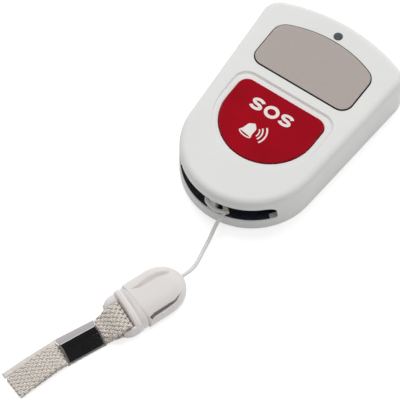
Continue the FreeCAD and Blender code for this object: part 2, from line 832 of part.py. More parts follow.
def make_block(label, x, y, length, width, height):
    """A small moulded part that sits on the circuit board, centred on x and y."""
    block = doc.addObject("Part::Box", label)
    block.Label = label
    drive(block, "Length", length)
    drive(block, "Width", width)
    drive(block, "Height", height)
    drive(block, "Placement.Base.x", dim(x) - length / 2)
    drive(block, "Placement.Base.y", dim(y) - width / 2)
    drive(block, "Placement.Base.z", board_top)
    parts.append(block)


def make_board():
    body = new_body("circuit_board")
    outline = new_sketch(body, "outline", lift=d.board_underside)
    add_case_outline(outline, d.board_inset)
    pad(body, outline, d.board_thickness)
    foot = new_sketch(body, "foot", lift=d.board_underside)
    half = d.case_width / 2
    add_rectangle(foot, -half, -case_end, half, foot_y - d.board_drop)
    pocket(body, foot, along=True)
    notches = new_sketch(body, "notches", lift=d.board_underside)
    for x, y in screw_places():
        add_circle(notches, x, y, d.pillar_radius + d.board_clearance)
    pocket(body, notches, along=True)


def make_switch():
    body = new_body("switch_body")
    half = d.switch_side / 2
    corners = (-half, switch_y - half, half, switch_y + half)
    block = new_sketch(body, "block", lift=board_top)
    add_rectangle(block, *corners)
    pad(body, block, d.switch_height - d.switch_cover_thickness)
    bore = new_sketch(body, "bore", lift=board_top + d.switch_floor)
    add_circle(bore, 0, switch_y, d.switch_bore_radius)
    pocket(body, bore, along=True)
    body = new_body("switch_cover")
    cover = new_sketch(body, "sheet", lift=switch_top - d.switch_cover_thickness)
    add_rectangle(cover, *corners)
    add_circle(cover, 0, switch_y, d.plunger_radius + d.plunger_gap)
    pad(body, cover, d.switch_cover_thickness)
    body = new_body("switch_dome")
    dome = new_sketch(body, "disc", lift=board_top + d.switch_floor)
    add_circle(dome, 0, switch_y, d.plunger_flange_radius)
    pad(body, dome, d.dome_thickness)
    body = new_body("switch_plunger")
    flange_top = switch_top - d.switch_cover_thickness - d.plunger_float
    flange_bottom = flange_top - d.plunger_flange_thickness
    flange = new_sketch(body, "flange", lift=flange_bottom)
    add_circle(flange, 0, switch_y, d.plunger_flange_radius)
    pad(body, flange, d.plunger_flange_thickness)
    stem = new_sketch(body, "stem", lift=flange_bottom)
    add_circle(stem, 0, switch_y, d.plunger_radius)
    pad(body, stem, plunger_top - flange_bottom)


def make_cell():
    body = new_body("coin_cell")
    can = new_sketch(body, "can", lift=cell_bottom + d.cell_step)
    add_circle(can, 0, cell_y, d.cell_radius)
    pad(body, can, d.cell_thickness - d.cell_step)
    cap = new_sketch(body, "cap", lift=cell_bottom)
    add_circle(cap, 0, cell_y, d.cell_radius - d.cell_rim)
    pad(body, cap, d.cell_step)
    half = d.contact_width / 2
    body = new_body("contact_positive")
    plate = new_sketch(body, "plate", lift=cell_top)
    reach = d.contact_plate_length / 2
    add_rectangle(plate, -half, cell_y - reach, half, cell_y + reach)
    pad(body, plate, d.contact_thickness)
    body = new_body("contact_negative")
    spring = new_sketch(body, "spring", "YZ_Plane", -half)
    sheet_up = d.contact_thickness
    peak = cell_bottom
    far = cell_y + d.contact_reach
    near = cell_y + d.contact_rise
    profile = [
        (cell_y - d.contact_rise, peak - sheet_up),
        (cell_y, peak - sheet_up),
        (near, floor_top),
        (far, floor_top),
        (far, d.board_underside),
        (far - sheet_up, d.board_underside),
        (far - sheet_up, floor_top + sheet_up),
        (near, floor_top + sheet_up),
        (cell_y, peak),
        (cell_y - d.contact_rise, peak),
    ]
    add_polygon(spring, profile)
    pad(body, spring, d.contact_width)


def add_polygon(sketch, points):
    corners = [vector(x, y) for x, y in points]
    count = len(corners)
    lines = [add_line(sketch, corners[i], corners[(i + 1) % count]) for i in range(count)]
    for i in range(count):
        following = lines[(i + 1) % count]
        sketch.addConstraint(Sketcher.Constraint("Coincident", lines[i], 2, following, 1))
    for line, (x, y) in zip(lines, points):
        place_point(sketch, line, 1, x, y)


def make_board_parts():
    side = d.chip_side
    make_block("radio_chip", d.chip_x, cell_y + d.chip_offset, side, side, d.chip_height)
    crystal = (d.crystal_length, d.crystal_width, d.crystal_height)
    make_block("crystal", d.crystal_x, cell_y + d.crystal_offset, *crystal)
    for count, step in enumerate((-1, 0, 1), start=1):
        make_block(
            "capacitor_%d" % count,
            d.capacitor_x,
            cell_y + d.capacitor_offset + d.capacitor_pitch * step,
            d.capacitor_length,
            d.capacitor_width,
            d.capacitor_height,
        )
    body = new_body("aerial")
    ring = new_sketch(body, "ring", lift=board_top)
    half_x = d.aerial_width / 2
    half_y = d.aerial_length / 2
    middle_y = cell_y + d.aerial_offset
    for inset in (dim(0), d.aerial_strip):
        add_rectangle(
            ring,
            d.aerial_x - half_x + inset,
            middle_y - half_y + inset,
            d.aerial_x + half_x - inset,
            middle_y + half_y - inset,
        )
    pad(body, ring, d.aerial_height)
    gap = new_sketch(body, "break", lift=board_top)
    add_rectangle(
        gap,
        d.aerial_x - d.aerial_break / 2,
        middle_y - half_y - d.aerial_strip,
        d.aerial_x + d.aerial_break / 2,
        middle_y - half_y + d.aerial_strip * 2,
    )
    pocket(body, gap, along=True)


def make_screws():
    for count, (x, y) in enumerate(screw_places(), start=1):
        body = new_body("case_screw_%d" % count)
        head_bottom = d.screw_sink - d.screw_head_height
        head = new_sketch(body, "head", lift=head_bottom)
        add_circle(head, x, y, d.screw_head_radius)
        pad(body, head, d.screw_head_height)
        shank = new_sketch(body, "shank", lift=d.screw_sink)
        add_circle(shank, x, y, d.screw_radius)
        pad(body, shank, d.screw_length)
        long = d.screw_head_radius * 0.7
        short = d.screw_drive_width / 2
        for name, half_x, half_y in (("slot", long, short), ("cross", short, long)):
            slot = new_sketch(body, name, lift=head_bottom)
            add_rectangle(slot, x - half_x, y - half_y, x + half_x, y + half_y)
            pocket(body, slot, d.screw_drive_depth, along=True)


def strap_point(along, across, height):
    """A point of the clasp's and strap's line: along it, across it and above the table."""
    turn = math.radians(-90 - d.strap_turn.value)
    x = d.clasp_x.value + along * math.cos(turn) - across * math.sin(turn)
    y = clasp_y.value + along * math.sin(turn) + across * math.cos(turn)
    return (x, y, height)


def lay_on_strap(thing):
    """Turns an object so that its own X runs down the strap's line."""
    thing.Placement = FreeCAD.Placement(
        FreeCAD.Vector(0, 0, 0), FreeCAD.Rotation(FreeCAD.Vector(0, 0, -1), 90)
    )
    thing.setExpression("Placement.Rotation.Angle", "90 + %s" % d.strap_turn.formula)
    drive(thing, "Placement.Base.x", d.clasp_x)
    drive(thing, "Placement.Base.y", clasp_y)


def add_head_outline(sketch, inset=0.0, end=None):
    """The clasp's head: a round nose and two parallel sides."""
    radius = d.clasp_nose_radius - inset
    centre = d.clasp_nose + d.clasp_nose_radius
    end = end or d.clasp_head_end
    nose = add_arc(sketch, vector(centre, 0), radius, 90, 270)
    low = add_line(sketch, vector(centre, -radius), vector(end, -radius))
    back = add_line(sketch, vector(end, -radius), vector(end, radius))
    high = add_line(sketch, vector(end, radius), vector(centre, radius))
    sketch.addConstraint(Sketcher.Constraint("Tangent", nose, 2, low, 1))
    sketch.addConstraint(Sketcher.Constraint("Coincident", low, 2, back, 1))
    sketch.addConstraint(Sketcher.Constraint("Coincident", back, 2, high, 1))
    sketch.addConstraint(Sketcher.Constraint("Tangent", high, 2, nose, 1))
    sketch.addConstraint(Sketcher.Constraint("Horizontal", low))
    sketch.addConstraint(Sketcher.Constraint("Horizontal", high))
    sketch.addConstraint(Sketcher.Constraint("Vertical", back))
    constrain(sketch, radius, "Radius", nose)
    place_point(sketch, nose, 3, centre, 0)
    place_point(sketch, back, 1, x=end)


def add_slit(sketch, side):
    """One of the two slits that part the clasp's sprung arms from its core."""
    centre = d.clasp_nose + d.clasp_nose_radius
    outer = d.clasp_nose_radius - d.clasp_slit_inset
    inner = outer - d.clasp_slit_width
    end = d.clasp_slit_end
    turn = d.clasp_slit_turn.value
    start = 90 if side > 0 else 270 - turn
    arcs = []
    for radius in (outer, inner):
        arc = add_arc(sketch, vector(centre, 0), radius, start, start + turn)
        constrain(sketch, radius, "Radius", arc)
        place_point(sketch, arc, 3, centre, 0)
        arcs.append(arc)
    straight, slanted = (1, 2) if side > 0 else (2, 1)
    lines = [
        add_line(sketch, vector(centre, radius * side), vector(end, radius * side))
        for radius in (outer, inner)
    ]
    for line, arc in zip(lines, arcs):
        sketch.addConstraint(Sketcher.Constraint("Tangent", line, 1, arc, straight))
        sketch.addConstraint(Sketcher.Constraint("Horizontal", line))
    cap = add_line(sketch, vector(end, outer * side), vector(end, inner * side))
    sketch.addConstraint(Sketcher.Constraint("Coincident", cap, 1, lines[0], 2))
    sketch.addConstraint(Sketcher.Constraint("Coincident", cap, 2, lines[1], 2))
    sketch.addConstraint(Sketcher.Constraint("Vertical", cap))
    place_point(sketch, cap, 1, x=end)
    lean = math.radians(turn)
    way = FreeCAD.Vector(-math.sin(lean), side * math.cos(lean), 0)
    tips = [vector(centre, 0) + way * radius.value for radius in (outer, inner)]
    tip = add_line(sketch, tips[0], tips[1])
    sketch.addConstraint(Sketcher.Constraint("Coincident", tip, 1, arcs[0], slanted))
    sketch.addConstraint(Sketcher.Constraint("Coincident", tip, 2, arcs[1], slanted))
    sketch.addConstraint(Sketcher.Constraint("PointOnObject", arcs[0], 3, tip))
    index = sketch.addConstraint(Sketcher.Constraint("Angle", tip, (lean - math.pi / 2) * side))
    formula = "(%s - 90) * %d * 1 deg" % (d.clasp_slit_turn.formula, side)
    sketch.setExpression("Constraints[%d]" % index, formula)


def make_clasp_head():
    """A rounded head with a slit beside each sprung arm, a collar and a tongue behind it."""
    body = new_body("clasp_head")
    lay_on_strap(body)
    shell_end = d.clasp_head_end - d.clasp_collar_length
    shell = new_sketch(body, "shell")
    add_head_outline(shell, 0.0, shell_end)
    pad(body, shell, d.clasp_height)
    side = d.clasp_nose_radius.value
    top = d.clasp_height.value
    rounds = (("upper", top, d.clasp_upper_radius), ("lower", 0.0, d.clasp_lower_radius))
    for name, height, radius in rounds:
        round_edges(body, name, radius, lambda edge: is_head_side(edge, height, side))
    collar = new_sketch(body, "collar", "YZ_Plane", shell_end)
    half = d.clasp_nose_radius - d.clasp_collar_inset
    collar_top = d.clasp_height - d.clasp_collar_drop
    collar_radius = d.clasp_collar_radius
    add_rounded(collar, -half, 0, half, collar_top, collar_radius, collar_radius)
    pad(body, collar, d.clasp_collar_length)
    slits = new_sketch(body, "slits", lift=d.clasp_height)
    add_slit(slits, 1)
    add_slit(slits, -1)
    pocket(body, slits, d.clasp_slit_depth)
    bore = new_sketch(body, "cord_bore", "YZ_Plane", d.clasp_nose + d.clasp_bore_depth)
    add_circle(bore, 0, d.clasp_height / 2, d.cord_radius + d.clasp_bore_gap)
    pocket(body, bore)
    tongue = new_sketch(body, "tongue", "YZ_Plane", d.clasp_head_end)
    low = (d.socket_height - d.tongue_height) / 2
    half = d.tongue_half_width
    add_rectangle(tongue, -half, low, half, low + d.tongue_height)
    pad(body, tongue, d.tongue_length)


def is_head_side(edge, height, radius):
    """The round nose and the long sides of the clasp's head, at one height."""
    if not level_at(edge, height):
        return False
    if hasattr(edge.Curve, "Radius"):
        return abs(edge.Curve.Radius - radius) < 1e-4
    return all(abs(abs(vertex.Y) - radius) < 1e-4 for vertex in edge.Vertexes)


def make_clasp_socket():
    body = new_body("clasp_socket")
    lay_on_strap(body)
    start = d.clasp_head_end + d.clasp_split
    half = d.socket_half_width
    corner = d.socket_corner_radius
    block = new_sketch(body, "block")
    add_rounded(block, start, -half, d.socket_end, half, corner, corner)
    pad(body, block, d.socket_height)
    round_edges(
        body, "top_edge", d.socket_edge_radius, lambda edge: level_at(edge, d.socket_height.value)
    )
    step = new_sketch(body, "step", lift=d.socket_height)
    add_rectangle(step, start, -half, start + d.socket_step_length, half)
    pocket(body, step, d.socket_step_depth)
    slot = new_sketch(body, "strap_slot")
    inner = half - d.lug_width
    add_rectangle(slot, d.strap_slot_start, -inner, d.socket_end + d.lug_width, inner)
    pocket(body, slot, along=True)
    cavity = new_sketch(body, "tongue_cavity", "YZ_Plane", start)
    low = (d.socket_height - d.tongue_height) / 2 - d.socket_gap
    wide = d.tongue_half_width + d.socket_gap
    add_rectangle(cavity, -wide, low, wide, low + d.tongue_height + d.socket_gap * 2)
    pocket(body, cavity, d.tongue_length - d.clasp_split + d.socket_gap, along=True)
    bar = new_sketch(body, "strap_bar", "XZ_Plane", -inner)
    bar_start = d.strap_slot_start + d.strap_slot_width
    bar_low = strap_layer_top + d.strap_bar_gap
    add_rounded(
        bar,
        bar_start,
        bar_low,
        bar_start + d.strap_bar_width,
        bar_low + d.strap_bar_height,
        d.strap_bar_radius,
        d.strap_bar_radius,
    )
    pad(body, bar, inner * 2)


def smooth_path(route):
    """Straight runs joined by tangent arcs, each as large as its two runs allow."""
    points = [FreeCAD.Vector(*point) for point in route]
    edges = []
    radii = []
    start = points[0]
    for before, corner, after in zip(points, points[1:], points[2:]):
        way_in = corner - before
        way_out = after - corner
        half_turn = way_in.getAngle(way_out) / 2
        cut = 0.45 * min(way_in.Length, way_out.Length)
        radii.append(cut / math.tan(half_turn))
        way_in.normalize()
        way_out.normalize()
        enter = corner - way_in * cut
        leave = corner + way_out * cut
        inward = (way_out - way_in).normalize()
        sagitta = radii[-1] * (1 / math.cos(half_turn) - 1)
        edges.append(Part.LineSegment(start, enter).toShape())
        edges.append(Part.Arc(enter, corner + inward * sagitta, leave).toShape())
        start = leave
    edges.append(Part.LineSegment(start, points[-1]).toShape())
    return Part.Wire(edges), radii


def sweep_along(label, route, section):
    """Carries a section down a route. It is drawn in its own XY plane and turned here."""
    wire, radii = smooth_path(route)
    path = doc.addObject("Part::Feature", label + "_path")
    path.Shape = wire
    doc.recompute()
    tube = doc.addObject("Part::Sweep", label)
    tube.Label = label
    tube.Sections = [section]
    tube.Spine = (path, ["Edge%d" % (i + 1) for i in range(len(wire.Edges))])
    tube.Solid = True
    doc.recompute()
    expected = Part.Face(Part.Wire(section.Shape.Edges)).Area * wire.Length
    sizes = (label, wire.Length, tube.Shape.Volume, expected)
    print("%s: length %.1f, volume %.1f, section times length %.1f" % sizes)
    print("radii: %s" % ", ".join("%.1f" % radius for radius in radii))
    parts.append(tube)
    return tube


def from_foot(route):
    """A route's points with y counted from the case's middle."""
    return [(x, y - case_end.value, z) for x, y, z in route]


def round_cord(label, route):
    section = doc.addObject("Part::Circle", label + "_section")
    drive(section, "Radius", d.cord_radius)
    way = FreeCAD.Vector(*route[1]) - FreeCAD.Vector(*route[0])
    turn = FreeCAD.Rotation(FreeCAD.Vector(0, 0, 1), way)
    section.Placement = FreeCAD.Placement(FreeCAD.Vector(*route[0]), turn)
    doc.recompute()
    sweep_along(label, route, section)


def make_neck_cord():
    end = d.clasp_nose.value + d.clasp_bore_depth.value - 1.4
    height = d.clasp_height.value / 2
    tail = [strap_point(d.clasp_nose.value - 0.8, 0, height), strap_point(end, 0, height)]
    route = from_foot(CORD_ROUTE) + tail
    print_route("cord", route)
    round_cord("neck_cord", route)
    round_cord("cord_loop", from_foot(LOOP_ROUTE))
    knot = doc.addObject("Part::Sphere", "cord_knot")
    knot.Label = "cord_knot"
    drive(knot, "Radius", d.knot_radius)
    knot.Placement.Base = FreeCAD.Vector(*route[0])
    parts.append(knot)


def make_strap():
    """One band, folded round the clasp's bar, whose two layers end side by side."""
    layer = d.strap_thickness
    half = d.strap_width / 2
    bar_middle = d.strap_slot_start + d.strap_slot_width + d.strap_bar_width / 2
    low = (d.strap_lift + layer / 2).value
    high = low + (layer + d.strap_layer_gap).value
    over = low + (layer + d.strap_bar_height + d.strap_bar_gap * 2).value
    front = (bar_middle - d.strap_bar_width / 2 - d.strap_bar_gap * 2 - layer / 2).value
    drop_start = (bar_middle + d.strap_drop_start).value
    drop_end = (bar_middle + d.strap_drop_end).value
    end = d.strap_end.value
    route = [
        strap_point(end, 0, high),
        strap_point(drop_end, 0, high),
        strap_point(drop_start, 0, over),
        strap_point(front, 0, over),
        strap_point(front, 0, low),
        strap_point(end, 0, low),
    ]
    section = doc.addObject("Part::Plane", "neck_strap_section")
    drive(section, "Length", d.strap_width)
    drive(section, "Width", layer)
    across = FreeCAD.Vector(*strap_point(0, 1, 0)) - FreeCAD.Vector(*strap_point(0, 0, 0))
    up = FreeCAD.Vector(0, 0, 1)
    corner = FreeCAD.Vector(*route[0]) + across * half.value - up * (layer / 2).value
    turn = FreeCAD.Rotation(-across, up, (-across).cross(up), "XYZ")
    section.Placement = FreeCAD.Placement(corner, turn)
    doc.recompute()
    print_route("strap", route)
    sweep_along("neck_strap", route, section)


def print_route(name, route):
    for point in route:
        print("%s point: %.2f, %.2f, %.2f" % ((name,) + point))


def make_crimp():
    body = new_body("strap_crimp")
    lay_on_strap(body)
    sleeve = new_sketch(body, "sleeve", "YZ_Plane", d.crimp_start)
    add_sleeve_outline(sleeve)
    add_sleeve_outline(sleeve, d.crimp_wall)
    pad(body, sleeve, d.crimp_length)


def add_sleeve_outline(sketch, inset=0.0):
    """The crimp's section: flat below, with a sloping shoulder at each side above."""
    inset = dim(inset)
    half = d.crimp_width / 2 - inset
    top = d.crimp_height - inset
    shoulder = half - d.crimp_slope_width
    eave = top - d.crimp_slope_height
    corners = [(-half, inset), (half, inset), (half, eave), (shoulder, top)]
    add_polygon(sketch, corners + [(-shoulder, top), (-half, eave)])


make_front_cover()
make_back_cover()
make_tray()
make_key()
make_plate()
make_lamp()
make_board()
make_switch()
make_cell()
make_board_parts()
make_screws()
make_neck_cord()
make_clasp_head()
make_clasp_socket()
make_strap()
make_crimp()
doc.recompute()

for thing in doc.Objects:
    if "Invalid" in thing.State or "Error" in thing.State:
        raise RuntimeError("%s is %s" % (thing.Name, thing.State))
os.makedirs("parts", exist_ok=True)
for part in parts:
    shape = part.Shape
    if shape.isNull() or not shape.isValid() or len(shape.Solids) != 1:
        raise RuntimeError("%s has a bad shape" % part.Label)
    shape.exportStep("parts/%s.step" % part.Label)
    print("%-18s %9.1f mm3" % (part.Label, shape.Volume))
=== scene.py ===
# %% [markdown]
# A wireless panic button is a small white case with one large red key, worn on a neck strap.
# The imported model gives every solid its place, so this lesson dresses those solids.
# It adds the soft parts, the printed signs and the finishes.
# Everything is in metres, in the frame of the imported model.

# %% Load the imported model
import json
import math

import bpy
from mathutils import Matrix, Vector

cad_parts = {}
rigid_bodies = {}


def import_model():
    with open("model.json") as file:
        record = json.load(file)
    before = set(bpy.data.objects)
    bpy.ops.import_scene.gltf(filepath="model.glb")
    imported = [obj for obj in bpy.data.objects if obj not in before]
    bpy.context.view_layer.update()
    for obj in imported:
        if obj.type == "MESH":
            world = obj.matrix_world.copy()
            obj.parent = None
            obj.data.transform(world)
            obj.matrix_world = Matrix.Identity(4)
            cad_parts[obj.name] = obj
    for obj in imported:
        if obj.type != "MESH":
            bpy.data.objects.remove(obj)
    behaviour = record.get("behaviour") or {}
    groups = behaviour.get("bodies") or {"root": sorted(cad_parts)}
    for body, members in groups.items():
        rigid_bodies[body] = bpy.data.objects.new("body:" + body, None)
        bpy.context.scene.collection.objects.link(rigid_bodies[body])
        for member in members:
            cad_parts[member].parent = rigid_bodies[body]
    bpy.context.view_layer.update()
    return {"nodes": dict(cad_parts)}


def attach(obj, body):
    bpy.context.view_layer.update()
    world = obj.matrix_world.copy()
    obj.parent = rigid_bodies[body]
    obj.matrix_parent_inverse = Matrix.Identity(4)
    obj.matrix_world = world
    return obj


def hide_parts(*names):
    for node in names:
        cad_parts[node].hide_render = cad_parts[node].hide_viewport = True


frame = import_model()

MM = 0.001

# %% [markdown]
# The photograph looks down on the case from above its right foot corner, from about a metre away.
# A long lens at that distance shows little perspective, so the walls stay almost parallel.
# The camera's place was found from the known outline of the case.

# %% Place the camera
CAMERA_PLACE = Vector((0.30393, -0.47214, 0.89572))
CAMERA_TILT = 30.97
CAMERA_HEADING = 35.22
LENS_MM = 315.0
SENSOR_MM = 36.0
FAR_LIMIT = 20.0

camera_data = bpy.data.cameras.new("camera")
camera_data.lens = LENS_MM
camera_data.sensor_width = SENSOR_MM
camera_data.clip_end = FAR_LIMIT
camera = bpy.data.objects.new("camera", camera_data)
camera.location = CAMERA_PLACE
camera.rotation_euler = (math.radians(CAMERA_TILT), 0.0, math.radians(CAMERA_HEADING))
bpy.context.scene.collection.objects.link(camera)
bpy.context.scene.camera = camera
bpy.context.scene.view_settings.view_transform = "Standard"
print("camera", round(CAMERA_PLACE.length, 3), "m from the case")

# %% [markdown]
# The cords come next, because they fix how far the part spreads.
# The thin cord is a smooth curve with one control point for each change of direction.
# A NURBS curve of order 3 rounds each corner by itself, as a limp cord does.

# %% Draw the routes of the cord
CORD_ROUTE = [
    (0.00460, -0.03500, 0.00650),
    (0.00435, -0.03740, 0.00610),
    (0.00420, -0.03970, 0.00410),
    (0.00440, -0.04270, 0.00150),
    (0.00480, -0.04630, 0.00075),
    (0.00570, -0.05030, 0.00080),
    (0.00620, -0.05430, 0.00150),
    (0.00605, -0.05797, 0.00320),
    (0.00496, -0.06119, 0.00320),
]
LOOP_ROUTE = [
    (0.0044, -0.0348, 0.0068),
    (0.0029, -0.0331, 0.0071),
    (0.0004, -0.0324, 0.0075),
    (-0.0019, -0.0326, 0.0079),
    (-0.0025, -0.0343, 0.0081),
    (-0.0017, -0.0361, 0.0079),
    (0.0006, -0.0365, 0.0074),
    (0.0030, -0.0365, 0.0070),
    (0.0045, -0.0354, 0.0067),
]
CORD_DIAMETER = 0.0012


def smooth_line(points, steps):
    """The points of the smooth curve that a route's control points draw."""
    data = bpy.data.curves.new("route", "CURVE")
    data.dimensions = "3D"
    data.resolution_u = steps
    spline = data.splines.new("NURBS")
    spline.points.add(len(points) - 1)
    for point, place in zip(spline.points, points):
        point.co = (*place, 1.0)
    spline.order_u = 3
    spline.use_endpoint_u = True
    holder = bpy.data.objects.new("route", data)
    bpy.context.scene.collection.objects.link(holder)
    bpy.context.view_layer.update()
    mesh = bpy.data.meshes.new_from_object(holder)
    line = [vertex.co.copy() for vertex in mesh.vertices]
    bpy.data.objects.remove(holder)
    bpy.data.meshes.remove(mesh)
    return line


def line_length(line):
    """The length of a row of points, in millimetres."""
    return round(sum((b - a).length for a, b in zip(line, line[1:])) / MM, 1)


cord_line = smooth_line(CORD_ROUTE, steps=12)
loop_line = smooth_line(LOOP_ROUTE, steps=10)
print("cord", line_length(cord_line), "mm, loop", line_length(loop_line), "mm")

# %% [markdown]
# A tube is a ring of points carried along a line.
# Each ring is turned as little as possible from the one before, so that the tube doesn't twist.
# A curve with a round bevel would be quicker, but it gives no texture map for the fibres to follow.

# %% A tube along a line
UP = Vector((0.0, 0.0, 1.0))


def new_piece(name, vertices, faces):
    """A mesh object at the origin, with its place in its vertices."""
    mesh = bpy.data.meshes.new(name)
    mesh.from_pydata([tuple(v) for v in vertices], [], faces)
    mesh.validate()
    piece = bpy.data.objects.new(name, mesh)
    bpy.context.scene.collection.objects.link(piece)
    return piece


def heading(line, i):
    """The direction in which a row of points runs at one of them."""
    return (line[min(i + 1, len(line) - 1)] - line[max(i - 1, 0)]).normalized()


def tube_faces(rings, sides, first=0):
    """The faces of a closed tube whose rings of vertices follow one another."""
    faces = []
    for i in range(rings - 1):
        for k in range(sides):
            a, b = first + i * sides + k, first + i * sides + (k + 1) % sides
            faces.append((a, b, b + sides, a + sides))
    faces.append(tuple(first + k for k in reversed(range(sides))))
    faces.append(tuple(first + (rings - 1) * sides + k for k in range(sides)))
    return faces


def lay_length_map(piece, marks):
    """A texture map from each vertex's share of a turn and its length along in millimetres."""
    layer = piece.data.uv_layers.new(name="length_map")
    for polygon in piece.data.polygons:
        turns = [marks[v][0] for v in polygon.vertices]
        on_seam = max(turns) - min(turns) > 0.5
        for loop, v in zip(polygon.loop_indices, polygon.vertices):
            turn, along = marks[v]
            layer.data[loop].uv = (turn + 1.0 if on_seam and turn < 0.5 else turn, along)


def make_tube(name, line, radius, sides=12):
    """A closed round tube along a line, with a texture map."""
    vertices, marks = [], []
    side = UP
    travelled = 0.0
    for i, point in enumerate(line):
        ahead = heading(line, i)
        side = (side - ahead * side.dot(ahead)).normalized()
        up = ahead.cross(side)
        travelled += (point - line[i - 1]).length / MM if i else 0.0
        for k in range(sides):
            turn = 2.0 * math.pi * k / sides
            vertices.append(point + (side * math.cos(turn) + up * math.sin(turn)) * radius)
            marks.append((k / sides, travelled))
    piece = new_piece(name, vertices, tube_faces(len(line), sides))
    lay_length_map(piece, marks)
    piece.data.shade_smooth()
    return piece


neck_cord = make_tube("neck_cord_braid", cord_line, CORD_DIAMETER / 2)
cord_loop = make_tube("cord_loop_braid", loop_line, CORD_DIAMETER / 2)
print("cord tube", len(neck_cord.data.polygons), "faces")

# %% [markdown]
# Where the cord leaves its loop it is tied in a small tight knot.
# A line that winds twice round while it passes three times through itself looks like one.
# The same tube, laid along that line, is then the knot, with no strand to place by hand.

# %% Tie the knot
KNOT_AXIS = Vector((0.1, -0.8, 0.6))
KNOT_WINDS = 2
KNOT_PASSES = 3
KNOT_AROUND = 0.00056
KNOT_ACROSS = 0.00030
KNOT_TALL = 1.5
KNOT_STRAND = 0.00038


def knot_line(centre, steps=90):
    """A closed line that winds twice round and three times through itself."""
    spin = KNOT_AXIS.normalized().to_track_quat("Z", "Y")
    points = []
    for i in range(steps + 1):
        turn = 2.0 * math.pi * i / steps
        around, through = KNOT_WINDS * turn, KNOT_PASSES * turn
        reach = KNOT_AROUND + KNOT_ACROSS * math.cos(through)
        rise = KNOT_TALL * KNOT_ACROSS * math.sin(through)
        local = Vector((reach * math.cos(around), reach * math.sin(around), rise))
        points.append(centre + spin @ local)
    return points


cord_knot = make_tube("cord_knot_wraps", knot_line(Vector(CORD_ROUTE[0])), KNOT_STRAND, sides=10)
for piece, node in ((neck_cord, "neck_cord"), (cord_loop, "cord_loop"), (cord_knot, "cord_knot")):
    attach(piece, "case")
    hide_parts(node)
print("knot", len(cord_knot.data.polygons), "faces")

# %% [markdown]
# The neck strap is one band that is folded round the bar of the clasp, with both layers in the crimp.
# Its route runs in along the upper layer from the cut end, round the bar and back below.
# Each place on it is given along the strap, across it and above the table, in millimetres.

# %% Draw the route of the strap
ALONG = Vector((-0.3206, -0.9472, 0.0))
ACROSS = Vector((0.9472, -0.3206, 0.0))
STRAP_START = Vector((0.0056, -0.0593, 0.0))
STRAP_HEADING = math.atan2(ALONG.y, ALONG.x)
STRAP_ROUTE = [
    (59.8, 0.45, 0.62),
    (57.0, 0.25, 0.85),
    (52.1, -0.15, 1.85),
    (43.5, -0.50, 2.12),
    (28.6, 0.30, 2.12),
    (26.6, 0.75, 2.80),
    (24.3, 1.15, 4.70),
    (21.8, 1.25, 4.95),
    (20.98, 1.25, 4.25),
    (20.98, 1.0, 1.02),
    (28.6, 0.25, 1.02),
    (43.5, -0.50, 1.02),
    (51.8, -0.20, 0.70),
    (55.2, 0.0, 0.55),
]
EDGE_ROUTE = [
    (41.4, -4.35, 1.75),
    (45.0, -4.35, 1.75),
    (52.5, -4.55, 1.40),
    (56.5, -4.65, 0.85),
    (60.0, -4.75, 0.45),
]


def strap_place(along, across, height):
    """A point beside the strap: millimetres along it, across it and above the table."""
    flat = STRAP_START + ALONG * (along * MM) + ACROSS * (across * MM)
    return flat + Vector((0.0, 0.0, height * MM))


def strap_measures(point):
    """How far along the strap and across it a point lies, in millimetres."""
    return (point - STRAP_START).dot(ALONG) / MM, (point - STRAP_START).dot(ACROSS) / MM


strap_line = smooth_line([strap_place(*place) for place in STRAP_ROUTE], steps=24)
edge_line = smooth_line([strap_place(*place) for place in EDGE_ROUTE], steps=12)
print("strap", line_length(strap_line), "mm")

# %% [markdown]
# The clasp's lugs, the crimp and the strap's own spring set how wide and how thick it lies.
# Smooth steps, each from one place along the strap to another, give widths and heights that flow.
# The braid is then pressed under the sloping roof of the crimp, as the real one is.

# %% How the strap narrows and is pressed
CRIMP_MIDDLE = 36.0
CRIMP_SIDE = -0.62
CRIMP_LEAN = 0.068
CRIMP_WIDTH = 9.1
CRIMP_HEIGHT = 3.7
CRIMP_TOP = 2.3
CRIMP_EAVE = 1.1
CRIMP_WALL = 0.55
CRIMP_FALL = 2.0 * (CRIMP_HEIGHT - CRIMP_EAVE) / (CRIMP_WIDTH - CRIMP_TOP)
STRAP_HALF = (4.45, (0.15, 23.2, 24.6), (-0.85, 24.2, 29.4), (-0.25, 41.8, 43.5), (0.10, 44.0, 50.0))
FOLD_SKEW = 0.12
FOLD_ENDS = (22.5, 28.0)
PRESS_STARTS = (26.8, 30.0)
PRESS_ENDS = (41.6, 45.5)
ROOF_GAP = 0.15
LAYERS_HEIGHT = 2.85
LEAST_SQUEEZE = 0.2


def eased(value, low, high):
    """0 below low, 1 above high, and a smooth step between them."""
    share = min(max((value - low) / (high - low), 0.0), 1.0)
    return share * share * (3.0 - 2.0 * share)


def stepped(value, start, *steps):
    """A start value that changes by an amount over each step from a low place to a high one."""
    for amount, low, high in steps:
        start += amount * eased(value, low, high)
    return start


def between(value, rise, fall):
    """1 between two smooth steps and 0 outside them."""
    return eased(value, *rise) * (1.0 - eased(value, *fall))


def strap_half_width(point):
    """The strap fits between the lugs, is squeezed in the crimp, and spreads again."""
    return stepped(strap_measures(point)[0], *STRAP_HALF) * MM


